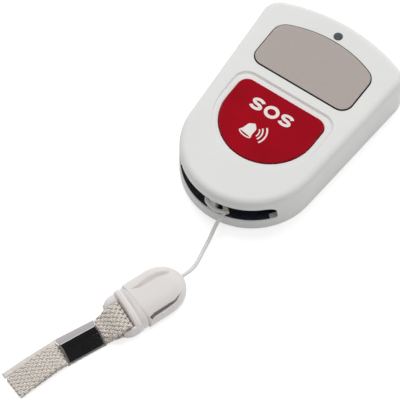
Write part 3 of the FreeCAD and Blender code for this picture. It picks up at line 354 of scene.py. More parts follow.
def pressed(place):
    """The same place, skewed at the fold and pushed down under the crimp's sloping roof."""
    along, from_middle = strap_measures(place)
    place = place + ALONG * (FOLD_SKEW * from_middle * (1.0 - eased(along, *FOLD_ENDS)) * MM)
    across = from_middle - CRIMP_SIDE + CRIMP_LEAN * (along - CRIMP_MIDDLE)
    drop = CRIMP_FALL * max(abs(across) - CRIMP_TOP / 2, 0.0)
    roof = CRIMP_HEIGHT - CRIMP_WALL - ROOF_GAP - drop
    share = between(along, PRESS_STARTS, PRESS_ENDS)
    squeeze = 1.0 + (max(min(roof / LAYERS_HEIGHT, 1.0), LEAST_SQUEEZE) - 1.0) * share
    return Vector((place.x, place.y, place.z * squeeze))


widths = [round(2 * stepped(along, *STRAP_HALF), 1) for along in (22, 36, 50)]
print("strap width at the fold, in the crimp and beyond it", widths, "mm")

# %% [markdown]
# The strap is a braided tube that lies flat, so its yarns spiral round it in both directions.
# Each yarn goes over one yarn and under the next, all along the band.
# A flat band with a bump pattern lacks the lumpy surface and soft edges, so the yarns are real.

# %% Braid the strap
YARNS_EACH_WAY = 11
YARN_TURN = 0.0215
YARN_HALF_WIDTH = 0.00056
YARN_HALF_THICKNESS = 0.00021
YARN_RISE = 0.00025
YARN_SIDES = 6
STEPS_A_CROSSING = 3
LOWEST_YARN = 0.00002
BAND_HALF_THICKNESS = 0.00024


def even_steps(line, step):
    """The same line with points a fixed step apart."""
    points = [line[0].copy()]
    carried = 0.0
    for a, b in zip(line, line[1:]):
        length = (b - a).length
        while length > 0.0 and carried + length >= step * len(points) - 1e-12:
            share = (step * len(points) - carried) / length
            points.append(a.lerp(b, min(max(share, 0.0), 1.0)))
        carried += length
    return points


def flat_ring(turn, half_width, half_thickness):
    """A point and its outward direction on the edge of a flat, round-ended section."""
    straight = 2.0 * (half_width - half_thickness)
    arc = math.pi * half_thickness
    where = (turn % 1.0) * (2.0 * straight + 2.0 * arc)
    if where < straight:
        return (where - straight / 2, half_thickness), (0.0, 1.0)
    where -= straight
    if where < arc:
        angle = math.pi / 2 - where / half_thickness
        x, y = math.cos(angle), math.sin(angle)
        return (straight / 2 + x * half_thickness, y * half_thickness), (x, y)
    where -= arc
    if where < straight:
        return (straight / 2 - where, -half_thickness), (0.0, -1.0)
    where -= straight
    angle = -math.pi / 2 - where / half_thickness
    x, y = math.cos(angle), math.sin(angle)
    return (-straight / 2 + x * half_thickness, y * half_thickness), (x, y)


def yarn_places(centres, step, way, yarn):
    """Where one yarn runs round the flat tube, and which way is out at each place."""
    places = []
    for i, centre in enumerate(centres):
        up = ACROSS.cross(heading(centres, i)).normalized()
        travelled = i * step
        turn = yarn / YARNS_EACH_WAY + way * travelled / YARN_TURN
        (x, y), (nx, ny) = flat_ring(turn, strap_half_width(centre), BAND_HALF_THICKNESS)
        wave = math.cos(2 * math.pi * YARNS_EACH_WAY * travelled / YARN_TURN)
        out = ACROSS * nx + up * ny
        middle = centre + ACROSS * x + up * y + out * (way * YARN_RISE * wave)
        places.append((pressed(middle), out))
    return places


def braid_band(name, line):
    """All the yarns of a flat braided tube along a line, as one mesh with a texture map."""
    step = YARN_TURN / (2 * YARNS_EACH_WAY) / STEPS_A_CROSSING
    centres = even_steps(line, step)
    turns = [2.0 * math.pi * k / YARN_SIDES for k in range(YARN_SIDES)]
    section = [(math.cos(turn) * YARN_HALF_WIDTH, math.sin(turn) * YARN_HALF_THICKNESS)
               for turn in turns]
    vertices, faces, marks = [], [], []
    for way in (1, -1):
        for yarn in range(YARNS_EACH_WAY):
            places = yarn_places(centres, step, way, yarn)
            row = [place for place, out in places]
            faces += tube_faces(len(row), YARN_SIDES, first=len(vertices))
            for i, (place, out) in enumerate(places):
                side = heading(row, i).cross(out).normalized()
                for k, (across, outward) in enumerate(section):
                    point = place + side * across + out * outward
                    point.z = max(point.z, LOWEST_YARN)
                    vertices.append(point)
                    marks.append((k / YARN_SIDES, i * step / MM))
    piece = new_piece(name, vertices, faces)
    lay_length_map(piece, marks)
    piece.data.shade_smooth()
    return piece


strap = braid_band("neck_strap_knit", strap_line)
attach(strap, "strap")
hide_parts("neck_strap")
print("strap", len(strap.data.polygons), "faces from", 2 * YARNS_EACH_WAY, "yarns")

# %% [markdown]
# Beyond the crimp a plain woven edge runs beside the braid.
# It is thin and even, so a skin over a row of flat rings is enough.

# %% Add the woven edge
EDGE_HALF_WIDTH = 0.0009
EDGE_HALF_THICKNESS = 0.00022


def join_rings(name, rings):
    """A closed skin over a row of rings."""
    count = len(rings[0])
    vertices = [point for ring in rings for point in ring]
    faces = []
    for i in range(len(rings) - 1):
        for k in range(count):
            a, b = i * count + k, i * count + (k + 1) % count
            faces.append((a, a + count, b + count, b))
    faces.append(tuple(range(count)))
    faces.append(tuple(reversed(range((len(rings) - 1) * count, len(rings) * count))))
    return new_piece(name, vertices, faces)


def flat_band(name, line, half_width, half_thickness, sides=24):
    """A closed flat band with round edges along a line."""
    section = [flat_ring(k / sides, half_width, half_thickness)[0] for k in range(sides)]
    rings = []
    for i, centre in enumerate(line):
        up = ACROSS.cross(heading(line, i)).normalized()
        rings.append([centre + ACROSS * x + up * y for x, y in section])
    return join_rings(name, rings)


strap_edge = flat_band("neck_strap_selvedge", edge_line, EDGE_HALF_WIDTH, EDGE_HALF_THICKNESS)
strap_edge.data.shade_smooth()
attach(strap_edge, "strap")
print("woven edge", line_length(edge_line), "mm")

# %% [markdown]
# Most pieces are shaped with the operators of edit mode, as by hand.
# An operator acts on all that is selected, so each step first selects exactly what it should change.

# %% Helpers for operators
SMALL = 1e-6


def select_none():
    """Nothing selected, because an operator acts on all that is selected."""
    if bpy.context.object and bpy.context.object.mode != "OBJECT":
        bpy.ops.object.mode_set(mode="OBJECT")
    bpy.ops.object.select_all(action="DESELECT")


def take(piece):
    """Selects one piece alone, as an operator needs."""
    select_none()
    piece.select_set(True)
    bpy.context.view_layer.objects.active = piece


def add_modifier(piece, kind, **values):
    """Adds a modifier with its values and applies it."""
    take(piece)
    modifier = piece.modifiers.new(kind.lower(), kind)
    for name, value in values.items():
        setattr(modifier, name, value)
    bpy.ops.object.modifier_apply(modifier=modifier.name)


def settle(piece):
    """Puts the piece's place in its mesh, with its object at the origin."""
    take(piece)
    bpy.ops.object.transform_apply(location=True, rotation=True, scale=True)
    return piece


def add_cube(name, length, width, height):
    """A cube at the origin with its sides in millimetres, ready to be shaped."""
    select_none()
    bpy.ops.mesh.primitive_cube_add(size=1.0, location=(0.0, 0.0, 0.0))
    cube = bpy.context.object
    cube.name = name
    cube.scale = (length * MM, width * MM, height * MM)
    return settle(cube)


def select_where(piece, wanted, kind="faces"):
    """Selects the faces or edges of a piece that wanted() picks, and stays in edit mode."""
    take(piece)
    bpy.ops.object.mode_set(mode="EDIT")
    bpy.ops.mesh.select_mode(type="FACE" if kind == "faces" else "EDGE")
    bpy.ops.mesh.select_all(action="DESELECT")
    bpy.ops.object.mode_set(mode="OBJECT")
    for item in piece.data.polygons if kind == "faces" else piece.data.edges:
        item.select = wanted(item)
    bpy.ops.object.mode_set(mode="EDIT")


def smooth(piece, degrees):
    """Smooth shading that keeps the edges sharper than an angle."""
    piece.data.shade_smooth()
    take(piece)
    bpy.ops.object.shade_smooth_by_angle(angle=math.radians(degrees))


# %% [markdown]
# The crimp is a bent metal sleeve that squeezes both layers of the strap together.
# It is a block whose two upper edges are cut off wide, opened at both ends, with a short flared lip.
# Its far side reaches further towards the clasp, because a pressed sleeve is seldom quite square.
# A thickness and small round edges then make it a sleeve.

# %% Shape the crimp
CRIMP_LENGTH = 12.6
CRIMP_LIP = 0.5
CRIMP_FLARE = 0.045
CRIMP_TOP_SHIFT = 0.15
CRIMP_FAR_OUTER_SHIFT = (0.05, -0.15)
CRIMP_FAR_INNER_SHIFT = (-1.10, 0.25)
END_ON = 0.9


def is_upper_long_edge(edge):
    """True for the two edges that run along the top of the block."""
    ends = [crimp.data.vertices[v].co for v in edge.vertices]
    return all(end.z > 0 for end in ends) and abs(ends[0].y - ends[1].y) < SMALL


def is_end_edge(edge, end):
    """True for the edges round one open end of the sleeve."""
    reach = (CRIMP_LENGTH / 2 - CRIMP_LIP) * MM
    return all(abs(crimp.data.vertices[v].co.x * end - reach) < SMALL for v in edge.vertices)


crimp = add_cube("strap_crimp_sleeve", CRIMP_LENGTH - 2 * CRIMP_LIP, CRIMP_WIDTH, CRIMP_HEIGHT)
select_where(crimp, is_upper_long_edge, "edges")
bpy.ops.mesh.bevel(offset=(CRIMP_HEIGHT - CRIMP_EAVE) * MM, segments=1, affect="EDGES")
bpy.ops.object.mode_set(mode="OBJECT")
for vertex in crimp.data.vertices:
    if vertex.co.z > CRIMP_HEIGHT / 2 * MM - SMALL:
        vertex.co.y = math.copysign(CRIMP_TOP / 2 * MM, vertex.co.y) + CRIMP_TOP_SHIFT * MM
select_where(crimp, lambda face: abs(face.normal.x) > END_ON)
bpy.ops.mesh.delete(type="ONLY_FACE")
bpy.ops.object.mode_set(mode="OBJECT")
for end in (-1, 1):
    select_where(crimp, lambda edge: is_end_edge(edge, end), "edges")
    move = (end * CRIMP_LIP * MM, 0.0, 0.0)
    bpy.ops.mesh.extrude_region_move(TRANSFORM_OT_translate={"value": move})
    bpy.ops.transform.resize(value=(1.0, 1.0 + CRIMP_FLARE, 1.0 + CRIMP_FLARE))
    bpy.ops.object.mode_set(mode="OBJECT")
for vertex in crimp.data.vertices:
    if vertex.co.y < -CRIMP_TOP * MM:
        shift = CRIMP_FAR_OUTER_SHIFT if vertex.co.x > 0 else CRIMP_FAR_INNER_SHIFT
        vertex.co += Vector((*shift, 0.0)) * MM
print("crimp shell", len(crimp.data.polygons), "faces")

# %% [markdown]
# The flat faces mirror, the round edges get a painted highlight, the lips are a darker, duller grey and the
# near side gets painted shade.
# Each of them gets a material slot of its own, picked by where a face lies and which way it looks.

# %% Give the crimp its wall, its slots and its place
CRIMP_ROUNDING = 0.25
FACE, EDGE, RIM, SIDE = range(4)
UPRIGHT = 0.85
SLOPING = 0.1
add_modifier(crimp, "SOLIDIFY", thickness=CRIMP_WALL * MM, offset=-1.0)
for name in ("crimp_face", "crimp_edge", "crimp_rim", "crimp_side"):
    crimp.data.materials.append(bpy.data.materials.new(name))
# The rounded edges go in the slot for a painted highlight.
add_modifier(crimp, "BEVEL", width=CRIMP_ROUNDING * MM, segments=3, limit_method="ANGLE",
             material=EDGE)
for face in crimp.data.polygons:
    on_lip = abs(face.center.x) > (CRIMP_LENGTH / 2 - CRIMP_LIP) * MM
    if on_lip and face.center.y > -CRIMP_TOP * MM:
        face.material_index = RIM
    # The near side goes in the slot for painted shade.
    elif face.normal.y > UPRIGHT:
        face.material_index = SIDE
    elif face.normal.y > SLOPING:
        face.material_index = FACE
crimp.data.transform(Matrix.Translation(Vector((0.0, 0.0, CRIMP_HEIGHT / 2 * MM))))
spin = Matrix.Rotation(STRAP_HEADING - math.atan(CRIMP_LEAN), 4, "Z")
crimp.data.transform(Matrix.Translation(strap_place(CRIMP_MIDDLE, CRIMP_SIDE, 0.0)) @ spin)
smooth(crimp, 30)
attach(crimp, "strap")
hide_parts("strap_crimp")
print("crimp", len(crimp.data.polygons), "faces")

# %% [markdown]
# The clasp is soft-edged: an egg-shaped head with a domed core between two sprung arms.
# A ring of points at each station along the clasp gives the dome, and a groove parts each arm from the core.
# The near groove is deep and widens towards the collar, while the far one is a shallow scoop.
# Sizes are in millimetres, along the clasp and across it, and the grooves use the strap's smooth steps.

# %% The grooves of the head
SLIT_INNER = (4.9, (1.1, 3.0, 6.8), (0.3, 13.5, 15.6))
SLIT_WIDTH = (0.7, (0.55, 3.5, 12.0))
SLIT_ENDS = ((2.5, 9.5), (15.2, 15.5))
SLIT_DEPTH = 3.0
SLIT_EDGE = (0.0, 0.10)
SLIT_SLOPE = ((0.72, 0.24, 0.36), (0.28, 0.36, 1.0))
UNDERCUT = 1.1
UNDERCUT_ENDS = ((0.0, 0.08), (0.08, 0.24))
SCOOP_EDGE = (-1.5, (-1.0, 1.5, 8.5), (-0.2, 8.5, 12.0), (-1.2, 11.5, 17.0))
SCOOP_WIDTH = (1.5, (0.7, 2.0, 6.0), (-1.6, 9.0, 16.0))
SCOOP_ENDS = ((1.2, 5.0), (12.0, 16.2))
SCOOP_SLOPES = ((0.0, 0.25), (0.25, 1.0))
SCOOP_DEPTH = 1.25
NOTCH_START = (15.75, 16.2)
NOTCH_SIDE = (6.3, 6.8)
NOTCH_DEPTH = 1.6


def near_groove(along, across):
    """The dark slit's depth, and its reach in below the core: a sharp edge, then a slope."""
    share = (across - stepped(along, *SLIT_INNER)) / stepped(along, *SLIT_WIDTH)
    if not 0.0 < share < 1.0:
        return 0.0, 0.0
    strength = between(along, *SLIT_ENDS)
    slope = stepped(share, 0.0, *SLIT_SLOPE)
    depth = SLIT_DEPTH * strength * eased(share, *SLIT_EDGE) * (1.0 - slope)
    return depth, UNDERCUT * strength * between(share, *UNDERCUT_ENDS)


def far_groove(along, across):
    """The scoop's depth: a short wall on the core's side and a long slope up to the far arm."""
    share = (stepped(along, *SCOOP_EDGE) - across) / stepped(along, *SCOOP_WIDTH)
    if not 0.0 < share < 1.0:
        return 0.0
    return SCOOP_DEPTH * between(along, *SCOOP_ENDS) * between(share, *SCOOP_SLOPES)


def tail_notch(along, across):
    """The notch's depth where the near arm stops short of the collar."""
    return NOTCH_DEPTH * eased(along, *NOTCH_START) * eased(across, *NOTCH_SIDE)


print("slit", SLIT_DEPTH, "mm deep, scoop", SCOOP_DEPTH, "mm")

# %% [markdown]
# Every ring of the clasp has the same kind of outline: a soft dome above and a flat belly below.
# Powers of the share across set how full the dome is, so head, collar and lugs come from one function.

# %% One ring round the clasp
FULLNESS = 0.8
DOME = (2.5, 0.4)
BELLY = (5, 0.3)
LOWEST_GROOVE = 0.4


def domed_ring(along, half, top, near, far, grooved=False, count=360, centre=0.0, skew=0.0):
    """One ring round the clasp, from the heights of its top and of its near and far sides."""
    points = []
    for k in range(count):
        turn = 2.0 * math.pi * k / count
        share = math.cos(turn)
        across = half * math.copysign(abs(share) ** FULLNESS, share)
        share = across / half
        inward = min(abs(share), 1.0)
        middle = far + (near - far) * (share + 1.0) / 2.0
        reach = 0.0
        if math.sin(turn) >= 0.0:
            height = middle + (top - middle) * (1.0 - inward ** DOME[0]) ** DOME[1]
            if grooved:
                depth, reach = near_groove(along, across)
                height -= depth + far_groove(along, across)
                height = max(height - tail_notch(along, across), LOWEST_GROOVE)
        else:
            height = middle * (1.0 - (1.0 - inward ** BELLY[0]) ** BELLY[1])
        points.append(strap_place(along + skew * across, centre + across - reach, height))
    return points


def add_block(name, low, high, width, rounding=0.0):
    """A small block with rounded edges along the clasp, between two places along and up."""
    block = add_cube(name, high[0] - low[0], width, high[1] - low[1])
    if rounding:
        add_modifier(block, "BEVEL", width=rounding * MM, segments=4)
    middle = strap_place((low[0] + high[0]) / 2, 0.0, (low[1] + high[1]) / 2)
    block.data.transform(Matrix.Translation(middle) @ Matrix.Rotation(STRAP_HEADING, 4, "Z"))
    return block


def join_pieces(pieces):
    """Joins pieces into the first of them."""
    select_none()
    for piece in pieces:
        piece.select_set(True)
    bpy.context.view_layer.objects.active = pieces[0]
    bpy.ops.object.join()
    return pieces[0]


print("a ring has", len(domed_ring(0.0, 1.0, 2.0, 1.0, 1.0)), "points")

# %% [markdown]
# The head swells from a blunt nose, and is widest and highest before its middle.
# Its tail is tucked in a little, and the tongue that the socket grips stands out of it.

# %% Shape the head of the clasp
HEAD_NOSE = -0.6
NOSE_GAP = 0.012
HEAD_END = 16.3
HEAD_HALF = 7.4
HEAD_TOP = 6.35
HEAD_WIDEST = 9.0
HEAD_HIGHEST = 6.5
NOSE_HEIGHT = 2.9
NOSE_POWER = 2.2
NEAR_HEIGHT, NEAR_CHANGE = 2.4, -0.7
FAR_HEIGHT, FAR_CHANGE = 2.8, 1.0
HEAD_RINGS = 120
CROWDING = 1.35
TAIL_START = 15.6
TAIL_TUCK = 0.05
TONGUE = {"low": (15.9, 1.3), "high": (19.2, 4.3), "width": 9.2, "rounding": 0.25}


def swelling(along, full):
    """How far the head has swelled: 0 at the nose, and 1 from the place where it is full."""
    short = max(full - along, 0.0) / (full - HEAD_NOSE)
    return math.sqrt(max(1.0 - short ** NOSE_POWER, 0.0))


rings = []
for i in range(HEAD_RINGS + 1):
    first = HEAD_NOSE + NOSE_GAP
    along = first + (HEAD_END - HEAD_NOSE - NOSE_GAP) * (i / HEAD_RINGS) ** CROWDING
    tuck = 1.0 - TAIL_TUCK * eased(along, TAIL_START, HEAD_END) ** 2
    half = HEAD_HALF * swelling(along, HEAD_WIDEST) * tuck
    rise = swelling(along, HEAD_HIGHEST)
    top = NOSE_HEIGHT + (HEAD_TOP - NOSE_HEIGHT) * rise
    near, far = NEAR_HEIGHT + NEAR_CHANGE * rise, FAR_HEIGHT + FAR_CHANGE * rise
    rings.append(domed_ring(along, half, top, near, far, grooved=True))
clasp_head = join_rings("clasp_head_domed", rings)
clasp_head = join_pieces([clasp_head, add_block("tongue", **TONGUE)])
smooth(clasp_head, 45)
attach(clasp_head, "case")
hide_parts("clasp_head")
print("clasp head", len(clasp_head.data.polygons), "faces")

# %% [markdown]
# The socket has a low collar next to the head, then a raised bar that the strap dives behind.
# Two lugs of different width run on beside the strap and hold the round bar that it is folded over.
# Each station is a place along, a half width and a height, so the profile can be read off as a table.

# %% Shape the socket of the clasp
SOCKET_STATIONS = [
    (16.34, 6.70, 6.33), (16.50, 6.90, 6.32), (16.75, 7.00, 6.30), (17.20, 7.00, 6.20),
    (17.55, 7.00, 6.05), (17.80, 7.02, 5.85), (17.98, 7.05, 5.62), (18.10, 7.08, 5.58),
    (18.22, 7.14, 5.68), (18.42, 7.22, 5.86), (18.75, 7.28, 6.00), (19.20, 7.30, 6.02),
    (19.60, 7.28, 5.94), (19.90, 7.20, 5.72), (20.08, 7.05, 5.40), (20.15, 6.85, 5.05),
]
SOCKET_SKEW = 0.11
SOCKET_SIDES = (1.9, 3.3)
CAVITY = {"low": (16.0, 1.05), "high": (19.4, 4.5), "width": 9.7}
LUG_STATIONS = [
    (18.60, 6.95, 4.00), (20.40, 7.12, 4.20), (21.40, 7.05, 4.20), (22.30, 6.85, 4.10),
    (23.00, 6.50, 3.90), (23.55, 6.10, 3.60), (23.95, 5.75, 3.25), (24.20, 5.45, 2.90),
    (24.30, 5.20, 2.60),
]
LUG_INNER = {-1: 3.55, 1: 5.55}
LUG_THIN = 0.7
LUG_EDGE = 0.6
BAR_PLACE = (23.3, 0.0, 2.65)
BAR_RADIUS = 0.9
BAR_LENGTH = 11.4


def socket_ring(along, half, top):
    """A ring of the socket, which slants across behind the head."""
    slant = SOCKET_SKEW * eased(along, 16.4, 17.4)
    return domed_ring(along, half, top, *SOCKET_SIDES, count=96, skew=slant)


def lug_ring(side, along, outer, top):
    """A ring of the lug on one side of the strap."""
    inner = min(LUG_INNER[side], outer - LUG_THIN)
    centre = side * (outer + inner) / 2
    half = (outer - inner) / 2
    return domed_ring(along, half, top, top * LUG_EDGE, top * LUG_EDGE, count=40, centre=centre)


socket = join_rings("clasp_socket_domed", [socket_ring(*station) for station in SOCKET_STATIONS])
cavity = add_block("cavity", **CAVITY)
add_modifier(socket, "BOOLEAN", operation="DIFFERENCE", object=cavity, solver="EXACT")
bpy.data.objects.remove(cavity)
lugs = []
for side in (-1, 1):
    lugs.append(join_rings("lug", [lug_ring(side, *station) for station in LUG_STATIONS]))
select_none()
bpy.ops.mesh.primitive_cylinder_add(vertices=24, radius=BAR_RADIUS * MM, depth=BAR_LENGTH * MM,
                                    rotation=(math.pi / 2, 0.0, 0.0))
bar = settle(bpy.context.object)
spin = Matrix.Rotation(STRAP_HEADING, 4, "Z")
bar.data.transform(Matrix.Translation(strap_place(*BAR_PLACE)) @ spin)
socket = join_pieces([socket, *lugs, bar])
smooth(socket, 40)
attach(socket, "strap")
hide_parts("clasp_socket")
print("clasp socket", len(socket.data.polygons), "faces")

# %% [markdown]
# The thin cord ends in the clasp's head, and the strap ends bare, as the photograph shows them.

print("cord ends in the clasp head, strap ends bare")

# %% [markdown]
# The key carries two printed signs: the letters of the call for help, and a ringing bell.
# Print is a thin layer of ink, so each sign is a flat shape with almost no thickness.
# A stroke is a band along a row of points, a little heavier where it runs upright, as in most lettering.

# %% Helpers for flat signs
KEY_TOP = 0.01545
INK = 0.00002
INK_LIFT = 0.000004


def flat_sign(name, outlines):
    """Flat closed shapes just above the key: each is a list of points and the faces between them."""
    vertices, faces = [], []
    for points, links in outlines:
        first = len(vertices)
        vertices += [Vector((x * MM, y * MM, KEY_TOP + INK_LIFT)) for x, y in points]
        faces += [tuple(first + v for v in link) for link in links]
    piece = new_piece(name, vertices, faces)
    add_modifier(piece, "SOLIDIFY", thickness=INK, offset=1.0)
    take(piece)
    bpy.ops.object.mode_set(mode="EDIT")
    bpy.ops.mesh.select_all(action="SELECT")
    bpy.ops.mesh.normals_make_consistent(inside=False)
    bpy.ops.object.mode_set(mode="OBJECT")
    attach(piece, "key")
    return piece


def stroke(points, width, closed=False, heavy=0.0):
    """A band along a list of points, as much wider as asked where it runs upright."""
    count = len(points)
    sides = []
    for i, (x, y) in enumerate(points):
        before = points[i - 1] if closed or i else points[0]
        after = points[(i + 1) % count] if closed or i < count - 1 else points[-1]
        ahead = Vector((after[0] - before[0], after[1] - before[1])).normalized()
        reach = (width + heavy * ahead.y ** 2) / 2
        sides.append((x - ahead.y * reach, y + ahead.x * reach))
        sides.append((x + ahead.y * reach, y - ahead.x * reach))
    links = []
    for i in range(count if closed else count - 1):
        j = (i + 1) % count
        links.append((2 * i, 2 * i + 1, 2 * j + 1, 2 * j))
    return sides, links


def bowl(centre, radii, start, end, steps=16):
    """Points on part of an ellipse, by angle in degrees."""
    points = []
    for i in range(steps + 1):
        angle = math.radians(start + (end - start) * i / steps)
        points.append((centre[0] + radii[0] * math.cos(angle), centre[1] + radii[1] * math.sin(angle)))
    return points


print("signs lie", INK_LIFT / MM, "mm above the key")

# %% [markdown]
# The letters are built from bowls: an S is two open ones, and an O is a single closed one.
# Curves of one family keep the three letters alike without any font file.

# %% Print the letters
LETTER_HEIGHT = 4.25
LETTER_STROKE = 0.94
LETTER_HEAVY = 0.28
LETTER_ROW = -3.38
S_WIDTH = 4.15
S_UPPER = (14, 256)
S_LOWER = (76, -166)
O_WIDTH = 4.75
O_EXTRA = 0.12
FIRST, SECOND, THIRD = -6.0, -0.85, 4.3


def letter_s(middle):
    """Two open bowls, one above the other, joined in the middle."""
    across = (S_WIDTH - LETTER_STROKE) / 2
    up = (LETTER_HEIGHT - LETTER_STROKE) / 4
    shift = LETTER_HEAVY / 4
    upper = bowl((middle + shift, LETTER_ROW + up), (across - shift, up), *S_UPPER)
    lower = bowl((middle - shift, LETTER_ROW - up), (across - shift, up), *S_LOWER)
    return stroke(upper + lower, LETTER_STROKE, heavy=LETTER_HEAVY)


def letter_o(middle):
    """One closed bowl."""
    radii = ((O_WIDTH - LETTER_STROKE) / 2, (LETTER_HEIGHT - LETTER_STROKE) / 2)
    ring = bowl((middle, LETTER_ROW), radii, 0, 360, steps=40)
    return stroke(ring[:-1], LETTER_STROKE + O_EXTRA, closed=True)


letters = flat_sign("key_letters", [letter_s(FIRST), letter_o(SECOND), letter_s(THIRD)])
print("letters", len(letters.data.polygons), "faces")

# %% [markdown]
# The bell is one filled outline, mirrored from its right side, with its mouth as a curved stroke.
# It leans as it rings, and three arcs beside it stand for the sound.

# %% Print the bell
BELL_MIDDLE = (-2.92, -12.15)
BELL_LEAN = 9.0
BELL_SIDE = [(0.45, 2.4), (1.4, 1.65), (1.62, 1.1), (1.68, 0.4), (1.85, -0.9), (2.28, -1.75)]
CROWN = ((0.0, 2.4), (0.45, 0.22))
MOUTH = ((0.0, -1.8), (2.1, 0.76))
MOUTH_STROKE = 0.42
WAVE_MIDDLE = (-2.05, -12.05)
WAVES = [(2.3, 0.38, -24, 46), (3.3, 0.45, -28, 47), (4.6, 0.52, -31, 46)]


def lean(points):
    """Turns points about the middle of the bell."""
    c, q = math.cos(math.radians(BELL_LEAN)), math.sin(math.radians(BELL_LEAN))
    return [(BELL_MIDDLE[0] + c * x + q * y, BELL_MIDDLE[1] - q * x + c * y) for x, y in points]


crown = bowl(*CROWN, 90, 0, steps=6)
half = crown[:-1] + BELL_SIDE
body = lean([(-x, y) for x, y in reversed(half)] + half[1:])
rows = len(half)
links = [(rows - 1 - i, rows - 1 + i, rows + i, rows - 2 - i) for i in range(rows - 1)]
mouth = stroke(lean(bowl(*MOUTH, 180, 360)), MOUTH_STROKE)
waves = []
for radius, width, low, high in WAVES:
    waves.append(stroke(bowl(WAVE_MIDDLE, (radius, radius), low, high, steps=12), width))
bell = flat_sign("key_bell", [(body, links), mouth, *waves])
print("bell", len(bell.data.polygons), "faces")

# %% [markdown]
# Each finish is a node material, because a real surface is never one flat colour.
# What changes over the surface comes from shared node groups: a fine moulded skin, a brushed grain
# and yarn fibres. A group is built once, and each material gives it values of its own.
# The groups read the object's own coordinates in metres, so their grain has a real size.

# %% Helpers for nodes and groups
PALE = (0.8, 0.8, 0.8, 1.0)
MIDDLE = (0.5, 0.5, 0.5, 1.0)


def add_node(tree, kind, links=(), **values):
    """A node with its properties and input values, and links into its inputs."""
    node = tree.nodes.new("ShaderNode" + kind)
    for name, value in values.items():
        label = name.replace("_", " ").title()
        if label in node.inputs:
            node.inputs[label].default_value = value
        else:
            setattr(node, name, value)
    for label, source in links:
        tree.links.new(source, node.inputs[label])
    return node


def new_group(name, **inputs):
    """A node group that takes a place, two tones and numbers, and gives colour, roughness, height."""
    group = bpy.data.node_groups.new(name, "ShaderNodeTree")
    add_socket = group.interface.new_socket
    add_socket(name="Place", in_out="INPUT", socket_type="NodeSocketVector")
    for label, value in (("Tone", PALE), ("Deep Tone", MIDDLE)):
        tone = add_socket(name=label, in_out="INPUT", socket_type="NodeSocketColor")
        tone.default_value = value
    for label, value in inputs.items():
        number = add_socket(name=label.title(), in_out="INPUT", socket_type="NodeSocketFloat")
        number.default_value = value
    for label, kind in (("Color", "Color"), ("Roughness", "Float"), ("Height", "Float")):
        add_socket(name=label, in_out="OUTPUT", socket_type="NodeSocket" + kind)
    return group, group.nodes.new("NodeGroupInput").outputs, group.nodes.new("NodeGroupOutput").inputs


def end_group(group, given, wanted, share, rough, height):
    """Ends a group: a share from 0 to 1 mixes the two tones, and roughness and height go out."""
    tone = add_node(group, "Mix", [("Factor", share), ("A", given["Tone"]), ("B", given["Deep Tone"])],
                    data_type="RGBA")
    for label, source in (("Color", tone.outputs["Result"]), ("Roughness", rough), ("Height", height)):
        group.links.new(source, wanted[label])
    print("group", group.name)
    return group


def roughness_from(group, given, pattern):
    """Roughness between the group's smooth and rough values, by a pattern."""
    links = [("Value", pattern), ("To Min", given["Smooth"]), ("To Max", given["Rough"])]
    return add_node(group, "MapRange", links, from_min=0.25, from_max=0.75).outputs["Result"]


# %% [markdown]
# Moulded plastic has a fine spark-eroded skin: tiny soft bumps about a tenth of a millimetre across.
# Fine noise gives the bumps and the roughness, and slow noise a drift between two tones.

# %% Moulded skin group
def make_skin_group():
    """Bumps and a slow drift of tone, for anything moulded."""
    group, given, wanted = new_group("moulded_skin", grain=7000.0, drift=60.0, smooth=0.35, rough=0.5)
    fine = add_node(group, "TexNoise", [("Vector", given["Place"]), ("Scale", given["Grain"])],
                    detail=2.0).outputs["Fac"]
    slow = add_node(group, "TexNoise", [("Vector", given["Place"]), ("Scale", given["Drift"])],
                    detail=3.0).outputs["Fac"]
    share = add_node(group, "MapRange", [("Value", slow)], from_min=0.3, from_max=0.7)
    rough = roughness_from(group, given, fine)
    return end_group(group, given, wanted, share.outputs["Result"], rough, fine)


skin_group = make_skin_group()

# %% [markdown]
# Rolled or brushed metal has long fine lines in one direction.
# Noise stretched many times along one axis gives them, and it stays fine across them.

# %% Brushed grain group
def make_brushed_group():
    """Long fine lines along one axis, for anything rolled, drawn or brushed."""
    group, given, wanted = new_group("brushed_grain", grain=5000.0, stretch=0.02, smooth=0.2, rough=0.4)
    shrink = add_node(group, "CombineXYZ", [("X", given["Stretch"])], y=1.0, z=1.0)
    drawn = add_node(group, "VectorMath", [(0, given["Place"]), (1, shrink.outputs["Vector"])],
                     operation="MULTIPLY")
    lines = add_node(group, "TexNoise", [("Vector", drawn.outputs["Vector"]), ("Scale", given["Grain"])],
                     detail=3.0).outputs["Fac"]
    share = add_node(group, "MapRange", [("Value", lines)], from_min=0.3, from_max=0.7)
    rough = roughness_from(group, given, lines)
    return end_group(group, given, wanted, share.outputs["Result"], rough, lines)


brushed_group = make_brushed_group()
